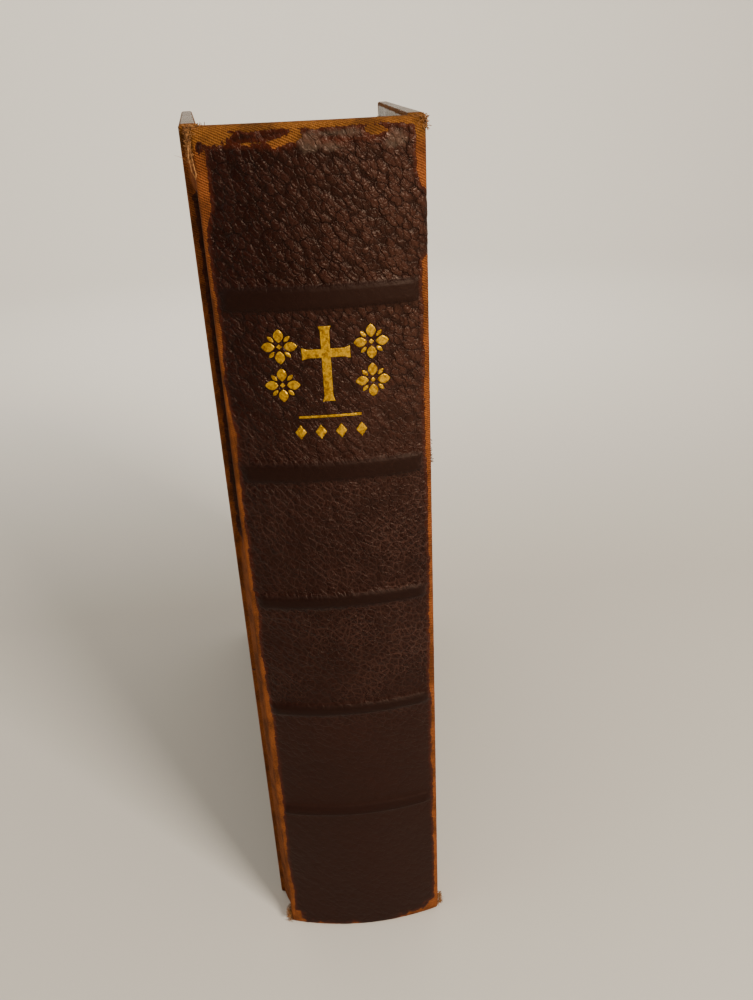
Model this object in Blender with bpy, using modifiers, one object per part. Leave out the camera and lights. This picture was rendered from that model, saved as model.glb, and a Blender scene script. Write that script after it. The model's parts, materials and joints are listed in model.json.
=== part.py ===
"""A case-bound Bible standing on its tail, built piece by piece as a bindery builds it.

The sewn text block, its linings and the hollow spine stand still. Each cover turns about the
shoulder of the text block, and the outermost leaves fan out between the cover and the block.

Metres, +Z up. The spine faces -Y, the fore-edge +Y and the front cover +X. The origin is in the
middle of the spine's tail fold, on the surface that the book stands on.
"""

import math

import bmesh
import bpy

# Overall sizes, with both covers closed
COVER_HEIGHT = 0.203
BOARD_WIDTH = 0.132
BOOK_THICKNESS = 0.0443
SPINE_WIDTH = 0.0405
SPINE_BULGE = 0.0030
SPINE_SHIFT = 0.0005  # the spine sits towards the front cover, because the old book is a little cocked
SQUARE = 0.0045  # how far the covers overhang the leaves

# Thicknesses of the sheet materials
BOARD = 0.0018
CLOTH = 0.0005
CARD = 0.0008
PASTEDOWN = 0.0002
LINING = 0.0003
MULL = 0.0004
TAPE = 0.0003
LEAF = 0.0003
GAP = 0.0003  # clearance between two glued or resting sheets
HOLLOW = 0.0006  # air between the spine's card and the lined text block

# The case
JOINT_WIDTH = 0.006  # the groove between the spine and a board
TURN_IN = 0.015
FOLD_CHAMFER = 0.0005
SIDE_WALL = 0.0012  # how far the spine's side reaches in before it slants to the shoulder
HINGE_CLEARANCE = 0.0006
FLANGE_WIDTH = 0.025
PASTEDOWN_MARGIN = 0.004
EDGE_ROUND = 0.0004

# Raised bands, from the head down; the tail panel is what is left
PANEL_HEIGHTS = (0.0298, 0.0352, 0.0313, 0.0304, 0.0325)
BAND_WIDTH = 0.0032
BAND_SLOPE = 0.001
BAND_HEIGHT = 0.0008

# The text block
SECTION_COUNT = 11
SECTION_ROUND = 0.0007
LEAF_ROOT = 0.0045  # from a leaf's turning axis to where its free part starts
TAPE_COUNT = 3
TAPE_WIDTH = 0.012
LINING_MARGIN = 0.010
KETTLE_INSET = 0.009
KETTLE_RADIUS = 0.00015
ENDBAND_RADIUS = 0.0009
ENDBAND_INSET = 0.0012

# How far each cover stands open at rest, and the share of that angle that each leaf takes
FRONT_OPEN = math.radians(2.0)
BACK_OPEN = math.radians(7.4)
LEAF_SHARES = (0.76, 0.60, 0.45, 0.30, 0.15)
FRONT_LEAVES = ("front_flyleaf", "half_title_leaf", "title_leaf", "contents_leaf", "first_text_leaf")
BACK_LEAVES = ("back_flyleaf", "map_leaf_4", "map_leaf_3", "map_leaf_2", "map_leaf_1")

ARC_STEPS = 16

# The spine's layers, as depths below its outer face
INLAY_DEPTH = CLOTH + GAP
TURN_IN_DEPTH = INLAY_DEPTH + CARD + GAP
FOLD_THICKNESS = TURN_IN_DEPTH + CLOTH
LINING_DEPTH = FOLD_THICKNESS + HOLLOW
MULL_DEPTH = LINING_DEPTH + LINING + GAP
TAPE_DEPTH = MULL_DEPTH + MULL + GAP
TEXT_DEPTH = TAPE_DEPTH + TAPE + GAP

# The spine's outer face is an arc of this radius about a vertical line through (SPINE_SHIFT, ARC_Y)
SPINE_HALF = SPINE_WIDTH / 2
SPINE_RADIUS = (SPINE_HALF**2 + SPINE_BULGE**2) / (2 * SPINE_BULGE)
ARC_Y = SPINE_RADIUS - FOLD_THICKNESS / 2


def arc_y(x, depth):
    """Y of an arc at a distance x from its middle, at a depth below the spine's outer face."""
    return ARC_Y - math.sqrt((SPINE_RADIUS - depth) ** 2 - x**2)


# A cover's layers, as distances outwards from its turning axis, which is in the joint's cloth
INNER_FACE = -CLOTH / 2
PASTEDOWN_OUT = INNER_FACE - GAP
PASTEDOWN_IN = PASTEDOWN_OUT - PASTEDOWN
BOARD_IN = CLOTH / 2 + GAP
BOARD_OUT = BOARD_IN + BOARD
COVER_OUT = BOARD_OUT + GAP + CLOTH

HINGE_X = BOOK_THICKNESS / 2 - COVER_OUT
HINGE_Y = arc_y(HINGE_X, TEXT_DEPTH)

# Along a cover, from its turning axis to its fore-edge
BOARD_START = JOINT_WIDTH + CLOTH + GAP
BOARD_END = BOARD_START + BOARD_WIDTH
COVER_END = BOARD_END + GAP + CLOTH

# Leaves and sections
LEAF_PITCH = LEAF + GAP
LEAF_WIDTH = COVER_END - SQUARE
TEXT_HEIGHT = COVER_HEIGHT - 2 * SQUARE
TEXT_HEAD = COVER_HEIGHT - SQUARE
OUTER_LEAF_X = HINGE_X + PASTEDOWN_IN - GAP - LEAF / 2
BLOCK_HALF = OUTER_LEAF_X + LEAF / 2 - len(LEAF_SHARES) * LEAF_PITCH
SECTION_PITCH = (2 * BLOCK_HALF + GAP) / SECTION_COUNT
SECTION_THICKNESS = SECTION_PITCH - GAP

book = bpy.data.collections.new("bible")
cutters = bpy.data.collections.new("cutters")


def clear_scene():
    for item in list(bpy.data.objects):
        bpy.data.objects.remove(item)
    for collection in (book, cutters):
        bpy.context.scene.collection.children.link(collection)


def finish_material(name, colour, roughness):
    material = bpy.data.materials.new(name)
    material.use_nodes = True
    shader = material.node_tree.nodes["Principled BSDF"]
    shader.inputs["Base Color"].default_value = (*colour, 1.0)
    shader.inputs["Roughness"].default_value = roughness
    shader.inputs["Metallic"].default_value = 0.0
    return material


LEATHERCLOTH = finish_material("leathercloth", (0.045, 0.012, 0.010), 0.42)
GREYBOARD = finish_material("greyboard", (0.36, 0.31, 0.25), 0.90)
MANILA = finish_material("manila", (0.55, 0.43, 0.28), 0.85)
TEXT_PAPER = finish_material("text_paper", (0.80, 0.72, 0.56), 0.80)
ENDPAPER = finish_material("endpaper", (0.70, 0.62, 0.48), 0.80)
MAP_PAPER = finish_material("map_paper", (0.76, 0.72, 0.60), 0.65)
MULL_CLOTH = finish_material("mull_cloth", (0.78, 0.74, 0.64), 0.95)
LINEN_TAPE = finish_material("linen_tape", (0.72, 0.66, 0.54), 0.90)
LINEN_THREAD = finish_material("linen_thread", (0.82, 0.78, 0.68), 0.80)
ENDBAND_SILK = finish_material("endband_silk", (0.50, 0.10, 0.08), 0.55)


def add_object(name, mesh, material, parent=None, collection=book):
    item = bpy.data.objects.new(name, mesh)
    collection.objects.link(item)
    if material:
        mesh.materials.append(material)
    item.parent = parent
    return item


def add_box(name, low, high, material, parent=None, collection=book):
    """A box between two corners, which are in its parent's frame."""
    mesh = bpy.data.meshes.new(name)
    shape = bmesh.new()
    bmesh.ops.create_cube(shape, size=1.0)
    bmesh.ops.scale(shape, vec=[h - l for l, h in zip(low, high)], verts=shape.verts)
    shape.to_mesh(mesh)
    shape.free()
    item = add_object(name, mesh, material, parent, collection)
    item.location = [(l + h) / 2 for l, h in zip(low, high)]
    return item


def round_edges(item, width, segments=2):
    bevel = item.modifiers.new("round", "BEVEL")
    bevel.width = width
    bevel.segments = segments
    bevel.limit_method = "ANGLE"


def boolean(item, other, operation):
    cut = item.modifiers.new(operation.lower(), "BOOLEAN")
    cut.operation = operation
    cut.object = other
    cut.solver = "EXACT"
    other.hide_render = True
    other.display_type = "WIRE"


def open_strip(name, points):
    """A chain of edges through points."""
    mesh = bpy.data.meshes.new(name)
    mesh.from_pydata(points, [(i, i + 1) for i in range(len(points) - 1)], [])
    return mesh


def solidify(item, thickness):
    shell = item.modifiers.new("thickness", "SOLIDIFY")
    shell.thickness = thickness
    shell.offset = 0.0
    shell.use_even_offset = True


def arc_shell(name, profile, half_width, thickness, material, middle_x=0.0):
    """A sheet bent round the spine: a profile of (depth of its middle, z) turned about the arc's centre."""
    mesh = open_strip(name, [(SPINE_RADIUS - depth, 0.0, z) for depth, z in profile])
    item = add_object(name, mesh, material)
    half_angle = math.asin(half_width / (SPINE_RADIUS - profile[0][0]))
    item.location = (middle_x, ARC_Y, 0.0)
    item.rotation_euler = (0.0, 0.0, -math.pi / 2 - half_angle)
    turn = item.modifiers.new("turn", "SCREW")
    turn.axis = "Z"
    turn.angle = 2 * half_angle
    turn.steps = ARC_STEPS
    turn.render_steps = ARC_STEPS
    turn.use_merge_vertices = False
    solidify(item, thickness)
    return item


def arc_tube(name, radius, depth, half_width, z, material):
    """A cord that follows the spine's arc at one height."""
    curve = bpy.data.curves.new(name, "CURVE")
    curve.dimensions = "3D"
    curve.bevel_depth = radius
    curve.bevel_resolution = 2
    curve.use_fill_caps = True
    line = curve.splines.new("POLY")
    line.points.add(ARC_STEPS)
    for i, point in enumerate(line.points):
        x = half_width * (2 * i / ARC_STEPS - 1)
        point.co = (x, arc_y(x, depth), z, 1.0)
    item = bpy.data.objects.new(name, curve)
    book.objects.link(item)
    curve.materials.append(material)
    return item


def band_middles():
    """Heights of the raised bands' middles, from the head down."""
    z = COVER_HEIGHT
    for panel in PANEL_HEIGHTS:
        z -= panel
        yield z


def add_spine_cloth():
    """The covering over the spine: folded over the card at head and tail, and over the bands."""
    outer, inner, fold = CLOTH / 2, TURN_IN_DEPTH + CLOTH / 2, CLOTH / 2
    tail_end = [
        (inner, TURN_IN),
        (inner, fold + FOLD_CHAMFER),
        (inner - FOLD_CHAMFER, fold),
        (outer + FOLD_CHAMFER, fold),
        (outer, fold + FOLD_CHAMFER),
    ]
    head_end = [(depth, COVER_HEIGHT - z) for depth, z in reversed(tail_end)]
    profile = list(tail_end)
    raised = outer - BAND_HEIGHT
    foot, top = BAND_WIDTH / 2 + BAND_SLOPE, BAND_WIDTH / 2
    for z in sorted(band_middles()):
        profile += [(outer, z - foot), (raised, z - top), (raised, z + top), (outer, z + foot)]
    profile += head_end
    spine = arc_shell("spine_cloth", profile, SPINE_HALF, CLOTH, LEATHERCLOTH, SPINE_SHIFT)
    wall_y = arc_y(SPINE_HALF - CLOTH / 2, CLOTH / 2)
    for side in (1, -1):
        wall_x = SPINE_SHIFT + side * (SPINE_HALF - CLOTH / 2)
        corners = (
            (wall_x, wall_y),
            (wall_x, wall_y + SIDE_WALL),
            (side * HINGE_X, HINGE_Y - HINGE_CLEARANCE),
        )
        wall = add_side_wall(f"side_wall_{side}", corners)
        boolean(spine, wall, "UNION")


def add_side_wall(name, corners):
    """The cloth from the spine's edge down to the text block's shoulder, as a bent upright sheet."""
    mesh = bpy.data.meshes.new(name)
    shape = bmesh.new()
    columns = [
        [shape.verts.new((x, y, z)) for z in (0.0, COVER_HEIGHT)] for x, y in corners
    ]
    for near, far in zip(columns, columns[1:]):
        shape.faces.new((near[0], far[0], far[1], near[1]))
    shape.to_mesh(mesh)
    shape.free()
    wall = add_object(name, mesh, None, collection=cutters)
    solidify(wall, CLOTH)
    return wall


def add_spine_linings():
    """The card in the case, the strips that raise the bands, and what is glued to the sewn backs."""
    inlay_half = SPINE_HALF - CLOTH - GAP
    edge = CLOTH + GAP
    arc_shell(
        "spine_inlay",
        [(INLAY_DEPTH + CARD / 2, edge), (INLAY_DEPTH + CARD / 2, COVER_HEIGHT - edge)],
        inlay_half,
        CARD,
        MANILA,
        SPINE_SHIFT,
    )
    strip = BAND_HEIGHT - GAP
    strip_depth = CLOTH - BAND_HEIGHT + GAP + strip / 2
    for number, z in enumerate(band_middles(), 1):
        arc_shell(
            f"band_strip_{number}",
            [(strip_depth, z - BAND_WIDTH / 2 + GAP), (strip_depth, z + BAND_WIDTH / 2 - GAP)],
            inlay_half,
            strip,
            MANILA,
            SPINE_SHIFT,
        )
    low, high = SQUARE + LINING_MARGIN, TEXT_HEAD - LINING_MARGIN
    lining_depth = LINING_DEPTH + LINING / 2
    mull_depth = MULL_DEPTH + MULL / 2
    arc_shell(
        "spine_lining", [(lining_depth, SQUARE), (lining_depth, TEXT_HEAD)], BLOCK_HALF, LINING, MANILA
    )
    arc_shell("mull", [(mull_depth, low), (mull_depth, high)], BLOCK_HALF, MULL, MULL_CLOTH)


def add_sewing():
    """Tapes that the sections are sewn over, and the kettle stitches that link them at each end."""
    depth = TAPE_DEPTH + TAPE / 2
    for number in range(1, TAPE_COUNT + 1):
        z = SQUARE + TEXT_HEIGHT * number / (TAPE_COUNT + 1)
        profile = [(depth, z - TAPE_WIDTH / 2), (depth, z + TAPE_WIDTH / 2)]
        arc_shell(f"sewing_tape_{number}", profile, BLOCK_HALF, TAPE, LINEN_TAPE)
    for end, z in (("tail", SQUARE + KETTLE_INSET), ("head", TEXT_HEAD - KETTLE_INSET)):
        arc_tube(f"kettle_stitch_{end}", KETTLE_RADIUS, depth, BLOCK_HALF, z, LINEN_THREAD)


def add_endbands():
    rise = GAP + ENDBAND_RADIUS
    depth = TEXT_DEPTH + ENDBAND_INSET
    for end, z in (("tail", SQUARE - rise), ("head", TEXT_HEAD + rise)):
        arc_tube(f"{end}_endband", ENDBAND_RADIUS, depth, BLOCK_HALF, z, ENDBAND_SILK)


def add_sections():
    """Folded gatherings side by side. Each starts on the spine's arc, so the fore-edge is hollow."""
    for number in range(SECTION_COUNT):
        low_x = -BLOCK_HALF + number * SECTION_PITCH
        back = arc_y(low_x + SECTION_THICKNESS / 2, TEXT_DEPTH) + fold_clearance(low_x)
        fore = arc_y(low_x + SECTION_THICKNESS / 2, TEXT_DEPTH) + LEAF_WIDTH
        section = add_box(
            f"section_{number + 1:02d}",
            (low_x, back, SQUARE),
            (low_x + SECTION_THICKNESS, fore, TEXT_HEAD),
            TEXT_PAPER,
        )
        round_folds(section.data)


def fold_clearance(low_x):
    """How far a flat-backed section sits behind the arc, so that none of its corners crosses it."""
    corners = [arc_y(low_x, TEXT_DEPTH), arc_y(low_x + SECTION_THICKNESS, TEXT_DEPTH)]
    return max(corners) - arc_y(low_x + SECTION_THICKNESS / 2, TEXT_DEPTH)


def round_folds(mesh):
    """Rounds the two upright edges at the folded back of a section."""
    shape = bmesh.new()
    shape.from_mesh(mesh)
    back = min(v.co.y for v in shape.verts)
    folds = [
        e
        for e in shape.edges
        if all(abs(v.co.y - back) < GAP / 10 for v in e.verts)
        and abs(e.verts[0].co.z - e.verts[1].co.z) > TEXT_HEIGHT / 2
    ]
    bmesh.ops.bevel(shape, geom=folds, offset=SECTION_ROUND, segments=3, profile=0.5, affect="EDGES")
    shape.to_mesh(mesh)
    shape.free()


def add_hinge(name, side, x, y, angle):
    """An empty on a turning axis, turned open by angle. Its +Y runs along the cover or leaf."""
    hinge = bpy.data.objects.new(name, None)
    book.objects.link(hinge)
    hinge.location = (side * x, y, 0.0)
    hinge.rotation_euler = (0.0, 0.0, -side * angle)
    return hinge


def across(side, start, end):
    """Two distances from an axis, outwards on this side, as a low and a high x."""
    return sorted((side * start, side * end))


def add_side_box(name, side, x_range, y_range, z_range, material, parent, collection=book):
    low_x, high_x = across(side, *x_range)
    low = (low_x, y_range[0], z_range[0])
    high = (high_x, y_range[1], z_range[1])
    return add_box(name, low, high, material, parent, collection)


def add_cover(prefix, side, angle):
    """A board in its covering, turned in on three edges, with its mull flange and pastedown."""
    hinge = add_hinge(f"{prefix}_cover_hinge", side, HINGE_X, HINGE_Y, angle)
    add_cover_cloth(prefix, side, hinge)
    ends = (CLOTH + GAP, COVER_HEIGHT - CLOTH - GAP)
    board = add_side_box(
        f"{prefix}_board",
        side,
        (BOARD_IN, BOARD_OUT),
        (BOARD_START, BOARD_END),
        ends,
        GREYBOARD,
        hinge,
    )
    round_edges(board, EDGE_ROUND / 2)
    flange_ends = (TURN_IN + GAP, COVER_HEIGHT - TURN_IN - GAP)
    add_side_box(
        f"{prefix}_mull_flange",
        side,
        (-MULL / 2, MULL / 2),
        (BOARD_START, BOARD_START + FLANGE_WIDTH),
        flange_ends,
        MULL_CLOTH,
        hinge,
    )
    add_side_box(
        f"{prefix}_pastedown",
        side,
        (PASTEDOWN_IN, PASTEDOWN_OUT),
        (HINGE_CLEARANCE, COVER_END - PASTEDOWN_MARGIN),
        (PASTEDOWN_MARGIN, COVER_HEIGHT - PASTEDOWN_MARGIN),
        ENDPAPER,
        hinge,
    )


def add_cover_cloth(prefix, side, hinge):
    """The covering of one board: a case with a window on the inside, and a strip along the joint."""
    full = (0.0, COVER_HEIGHT)
    cloth = add_side_box(
        f"{prefix}_cover_cloth",
        side,
        (INNER_FACE, COVER_OUT),
        (JOINT_WIDTH, COVER_END),
        full,
        LEATHERCLOTH,
        hinge,
    )
    round_edges(cloth, EDGE_ROUND)
    cavity = add_side_box(
        f"{prefix}_board_space",
        side,
        (CLOTH / 2, COVER_OUT - CLOTH),
        (JOINT_WIDTH + CLOTH, COVER_END - CLOTH),
        (CLOTH, COVER_HEIGHT - CLOTH),
        None,
        hinge,
        cutters,
    )
    window = add_side_box(
        f"{prefix}_window",
        side,
        (INNER_FACE - GAP, BOARD_IN),
        (JOINT_WIDTH + CLOTH, COVER_END - TURN_IN),
        (TURN_IN, COVER_HEIGHT - TURN_IN),
        None,
        hinge,
        cutters,
    )
    strip = add_side_box(
        f"{prefix}_joint_strip",
        side,
        (INNER_FACE, CLOTH / 2),
        (HINGE_CLEARANCE, JOINT_WIDTH + CLOTH + EDGE_ROUND),
        (EDGE_ROUND, COVER_HEIGHT - EDGE_ROUND),
        None,
        hinge,
        cutters,
    )
    boolean(cloth, cavity, "DIFFERENCE")
    boolean(cloth, strip, "UNION")
    boolean(cloth, window, "DIFFERENCE")


def add_leaves(names, side, cover_angle, materials):
    """The outermost leaves of one side, from the cover inwards, each on its own turning axis."""
    for number, (name, share, material) in enumerate(zip(names, LEAF_SHARES, materials)):
        x = OUTER_LEAF_X - number * LEAF_PITCH
        hinge = add_hinge(f"{name}_turn", side, x, arc_y(x, TEXT_DEPTH), share * cover_angle)
        add_side_box(
            name,
            side,
            (-LEAF / 2, LEAF / 2),
            (LEAF_ROOT, LEAF_WIDTH),
            (SQUARE, TEXT_HEAD),
            material,
            hinge,
        )


def main():
    clear_scene()
    add_spine_cloth()
    add_spine_linings()
    add_sewing()
    add_endbands()
    add_sections()
    add_cover("front", 1, FRONT_OPEN)
    add_cover("back", -1, BACK_OPEN)
    printed = [TEXT_PAPER] * (len(FRONT_LEAVES) - 1)
    maps = [MAP_PAPER] * (len(BACK_LEAVES) - 1)
    add_leaves(FRONT_LEAVES, 1, FRONT_OPEN, [ENDPAPER, *printed])
    add_leaves(BACK_LEAVES, -1, BACK_OPEN, [ENDPAPER, *maps])


main()
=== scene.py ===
"""The finish of a case-bound Bible standing on its tail: worn leathercloth, gilding, endbands and paper."""

import json
import math
import random

import bmesh
import bpy
import numpy as np
from mathutils import Matrix, Vector, noise


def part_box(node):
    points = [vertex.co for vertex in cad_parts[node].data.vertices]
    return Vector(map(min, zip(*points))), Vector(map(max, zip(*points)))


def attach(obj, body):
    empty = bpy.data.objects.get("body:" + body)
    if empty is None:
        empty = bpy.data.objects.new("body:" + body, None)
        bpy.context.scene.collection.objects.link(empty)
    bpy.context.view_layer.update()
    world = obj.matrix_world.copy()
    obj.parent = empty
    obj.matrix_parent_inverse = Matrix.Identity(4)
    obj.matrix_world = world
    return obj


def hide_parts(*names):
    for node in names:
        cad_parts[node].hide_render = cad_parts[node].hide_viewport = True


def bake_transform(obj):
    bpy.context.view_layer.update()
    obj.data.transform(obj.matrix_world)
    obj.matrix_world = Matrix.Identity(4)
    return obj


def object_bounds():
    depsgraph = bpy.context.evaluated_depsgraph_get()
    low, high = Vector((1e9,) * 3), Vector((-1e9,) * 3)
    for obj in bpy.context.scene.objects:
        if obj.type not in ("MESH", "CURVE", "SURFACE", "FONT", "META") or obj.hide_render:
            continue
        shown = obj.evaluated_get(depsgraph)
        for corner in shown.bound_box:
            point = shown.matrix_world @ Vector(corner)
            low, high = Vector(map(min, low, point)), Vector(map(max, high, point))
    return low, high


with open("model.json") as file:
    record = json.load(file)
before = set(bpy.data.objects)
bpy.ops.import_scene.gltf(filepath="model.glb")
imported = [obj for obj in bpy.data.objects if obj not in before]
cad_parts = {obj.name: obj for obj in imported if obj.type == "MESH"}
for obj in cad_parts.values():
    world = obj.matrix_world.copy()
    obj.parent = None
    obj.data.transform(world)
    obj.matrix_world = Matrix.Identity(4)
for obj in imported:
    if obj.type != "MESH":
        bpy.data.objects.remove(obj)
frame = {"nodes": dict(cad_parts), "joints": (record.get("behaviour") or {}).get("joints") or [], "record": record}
cad_low, cad_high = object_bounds()

# ---------------------------------------------------------------------------------------------
# The studio: a pale floor that curves up into a backdrop, a soft window to the right of the viewer,
# a faint fill from the left, a light on the backdrop and a dim sky. The viewer stands close to the
# spine, a little above its head.
CAMERA_PLACE = (0.00105, -0.1561, 0.20766)
CAMERA_YAW, CAMERA_PITCH, CAMERA_ROLL = (math.radians(a) for a in (-3.02, 26.38, -2.77))
CAMERA_LENS, CAMERA_SENSOR = 30.02, 36.0
CAMERA_NEAR = 0.005
WINDOW_COLOUR, FILL_COLOUR = (1.0, 0.91, 0.79), (1.0, 0.97, 0.93)
SKY_COLOUR, SKY_STRENGTH = (1.0, 0.96, 0.89, 1.0), 0.66
FLOOR_COLOUR, FLOOR_ROUGHNESS = (0.60, 0.562, 0.497, 1.0), 0.7
FLOOR_RADIUS, SWEEP_RADIUS, WALL_HEIGHT = 0.95, 0.60, 1.10


def camera_turn(yaw, pitch, roll):
    """The camera's rotation, from a heading off +Y, a tilt below the horizon and a twist."""
    ahead = Vector((-math.sin(yaw) * math.cos(pitch), math.cos(yaw) * math.cos(pitch), -math.sin(pitch)))
    level = Vector((math.cos(yaw), math.sin(yaw), 0.0))
    above = level.cross(ahead)
    right = math.cos(roll) * level + math.sin(roll) * above
    up = math.cos(roll) * above - math.sin(roll) * level
    return Matrix((right, up, -ahead)).transposed().to_4x4()


camera = bpy.data.objects.new("camera", bpy.data.cameras.new("camera"))
bpy.context.scene.collection.objects.link(camera)
camera.matrix_world = Matrix.Translation(CAMERA_PLACE) @ camera_turn(CAMERA_YAW, CAMERA_PITCH, CAMERA_ROLL)
camera.data.sensor_width = CAMERA_SENSOR
camera.data.lens = CAMERA_LENS
camera.data.clip_start = CAMERA_NEAR
bpy.context.scene.camera = camera


def soft_light(name, place, aim, size, power, colour):
    """A square light panel at place, turned to face aim."""
    panel = bpy.data.lights.new(name, "AREA")
    panel.size = size
    panel.energy = power
    panel.color = colour
    item = bpy.data.objects.new(name, panel)
    bpy.context.scene.collection.objects.link(item)
    item.location = place
    item.rotation_mode = "QUATERNION"
    item.rotation_quaternion = (Vector(aim) - Vector(place)).to_track_quat("-Z", "Y")
    item.visible_camera = False


soft_light("window", (0.50, -0.60, 0.56), (0.0, 0.0, 0.15), 0.26, 13.5, WINDOW_COLOUR)
soft_light("left_wall", (-0.80, -0.10, 0.45), (0.0, 0.05, 0.10), 0.60, 1.6, FILL_COLOUR)
soft_light("backdrop_light", (0.0, 0.45, 0.75), (0.0, 1.50, 0.35), 0.50, 14.0, FILL_COLOUR)

world = bpy.data.worlds.new("pale_room")
world.use_nodes = True
world.node_tree.nodes["Background"].inputs["Color"].default_value = SKY_COLOUR
world.node_tree.nodes["Background"].inputs["Strength"].default_value = SKY_STRENGTH
bpy.context.scene.world = world


def finished_mesh(name, shape):
    """The mesh of a shape that has been built up, shaded smooth."""
    mesh = bpy.data.meshes.new(name)
    shape.to_mesh(mesh)
    shape.free()
    mesh.shade_smooth()
    return mesh


def bowl_mesh(floor_radius, sweep_radius, height, around=96, steps=16):
    """A round floor whose rim sweeps up into a wall."""
    line = [(floor_radius * i / 4, 0.0) for i in range(1, 4)]
    for i in range(steps + 1):
        turn = math.pi / 2 * i / steps
        line.append((floor_radius + sweep_radius * math.sin(turn), sweep_radius * (1 - math.cos(turn))))
    line.append((floor_radius + sweep_radius, height))
    shape = bmesh.new()
    centre = shape.verts.new((0, 0, 0))
    rings = []
    for radius, z in line:
        turns = [math.tau * k / around for k in range(around)]
        rings.append([shape.verts.new((radius * math.cos(t), radius * math.sin(t), z)) for t in turns])
    for k in range(around):
        shape.faces.new((centre, rings[0][k], rings[0][(k + 1) % around]))
        for inner, outer in zip(rings, rings[1:]):
            shape.faces.new((inner[k], outer[k], outer[(k + 1) % around], inner[(k + 1) % around]))
    return finished_mesh("studio_bowl", shape)


studio = bpy.data.objects.new("studio_bowl", bowl_mesh(FLOOR_RADIUS, SWEEP_RADIUS, WALL_HEIGHT))
bpy.context.scene.collection.objects.link(studio)
pale = bpy.data.materials.new("pale_floor")
pale.use_nodes = True
pale.node_tree.nodes["Principled BSDF"].inputs["Base Color"].default_value = FLOOR_COLOUR
pale.node_tree.nodes["Principled BSDF"].inputs["Roughness"].default_value = FLOOR_ROUGHNESS
studio.data.materials.append(pale)

# ---------------------------------------------------------------------------------------------
# The leathercloth: a twill of orange-brown cotton with a dark red-brown coating, which is embossed
# with a pebbled grain. A century of handling has rubbed the coating off along every edge, so the
# twill shows there. Three node groups hold what its finishes share: grain, weave and rubbing.


class Nodes:
    """Adds nodes to one tree and joins them up."""

    def __init__(self, tree):
        self.tree = tree

    def add(self, kind, inputs=None, **settings):
        node = self.tree.nodes.new(kind)
        for name, value in settings.items():
            setattr(node, name, value)
        for socket, value in (inputs or {}).items():
            self.feed(node.inputs[socket], value)
        return node

    def feed(self, socket, value):
        if isinstance(value, bpy.types.NodeSocket):
            self.tree.links.new(value, socket)
        else:
            socket.default_value = value

    def math(self, operation, *values):
        node = self.add("ShaderNodeMath", operation=operation)
        for socket, value in zip(node.inputs, values):
            self.feed(socket, value)
        return node.outputs[0]

    def times(self, first, second):
        return self.math("MULTIPLY", first, second)

    def plus(self, first, second):
        return self.math("ADD", first, second)

    def minus(self, first, second):
        return self.math("SUBTRACT", first, second)

    def vector(self, operation, *values):
        node = self.add("ShaderNodeVectorMath", operation=operation)
        for socket, value in zip(node.inputs, values):
            self.feed(socket, value)
        return node.outputs[0]

    def scale(self, vector, factor):
        node = self.add("ShaderNodeVectorMath", {"Vector": vector}, operation="SCALE")
        self.feed(node.inputs["Scale"], factor)
        return node.outputs[0]

    def ramp(self, value, low, high, to_low=0.0, to_high=1.0):
        """A smooth step from to_low to to_high as value goes from low to high."""
        node = self.add("ShaderNodeMapRange", {"Value": value}, interpolation_type="SMOOTHSTEP")
        for socket, number in zip(list(node.inputs)[1:5], (low, high, to_low, to_high)):
            self.feed(socket, number)
        return node.outputs["Result"]

    def mix(self, factor, first, second, kind="RGBA", blend="MIX"):
        node = self.add("ShaderNodeMix", data_type=kind)
        if kind == "RGBA":
            node.blend_type = blend
        sockets = [s for s in node.inputs if s.enabled]
        for socket, value in zip(sockets, (factor, first, second)):
            self.feed(socket, value)
        return next(s for s in node.outputs if s.enabled)

    def noise(self, vector, scale, detail=2.0, roughness=0.5):
        inputs = {"Vector": vector, "Scale": scale, "Detail": detail, "Roughness": roughness}
        return self.add("ShaderNodeTexNoise", inputs)

    def cells(self, vector, scale, feature):
        """Distances in a flat pattern of cells: from a cell's edge or from its middle."""
        inputs = {"Vector": vector, "Scale": scale}
        pattern = self.add("ShaderNodeTexVoronoi", inputs, feature=feature, voronoi_dimensions="2D")
        return pattern.outputs["Distance"]

    def lay(self):
        """Where a point lies on the cloth before it is wrapped round: across, up and inwards."""
        return self.add("ShaderNodeAttribute", attribute_name="lay").outputs["Vector"]

    def stored(self, name, kind="FLOAT"):
        """A value that a mesh holds for each point, in a geometry node tree."""
        return self.add("GeometryNodeInputNamedAttribute", {"Name": name}, data_type=kind).outputs[0]

    def attribute(self, name):
        """A value that a mesh holds for each point, in a shader."""
        return self.add("ShaderNodeAttribute", attribute_name=name).outputs["Fac"]

    def place(self):
        """Where a point lies in the piece, in metres."""
        return self.add("ShaderNodeTexCoord").outputs["Object"]

    def bump(self, shader, strength, distance, height):
        """Roughens a shader's surface by height times distance, in metres."""
        node = self.add("ShaderNodeBump", {"Strength": strength, "Distance": distance, "Height": height})
        self.feed(shader.inputs["Normal"], node.outputs["Normal"])

    def use(self, group, **inputs):
        node = self.add("ShaderNodeGroup", node_tree=group)
        for name, value in inputs.items():
            self.feed(node.inputs[name], value)
        return node.outputs


def new_material(name):
    """A plain material: (material, its nodes, its shader)."""
    material = bpy.data.materials.new(name)
    material.use_nodes = True
    return material, Nodes(material.node_tree), material.node_tree.nodes["Principled BSDF"]


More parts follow.
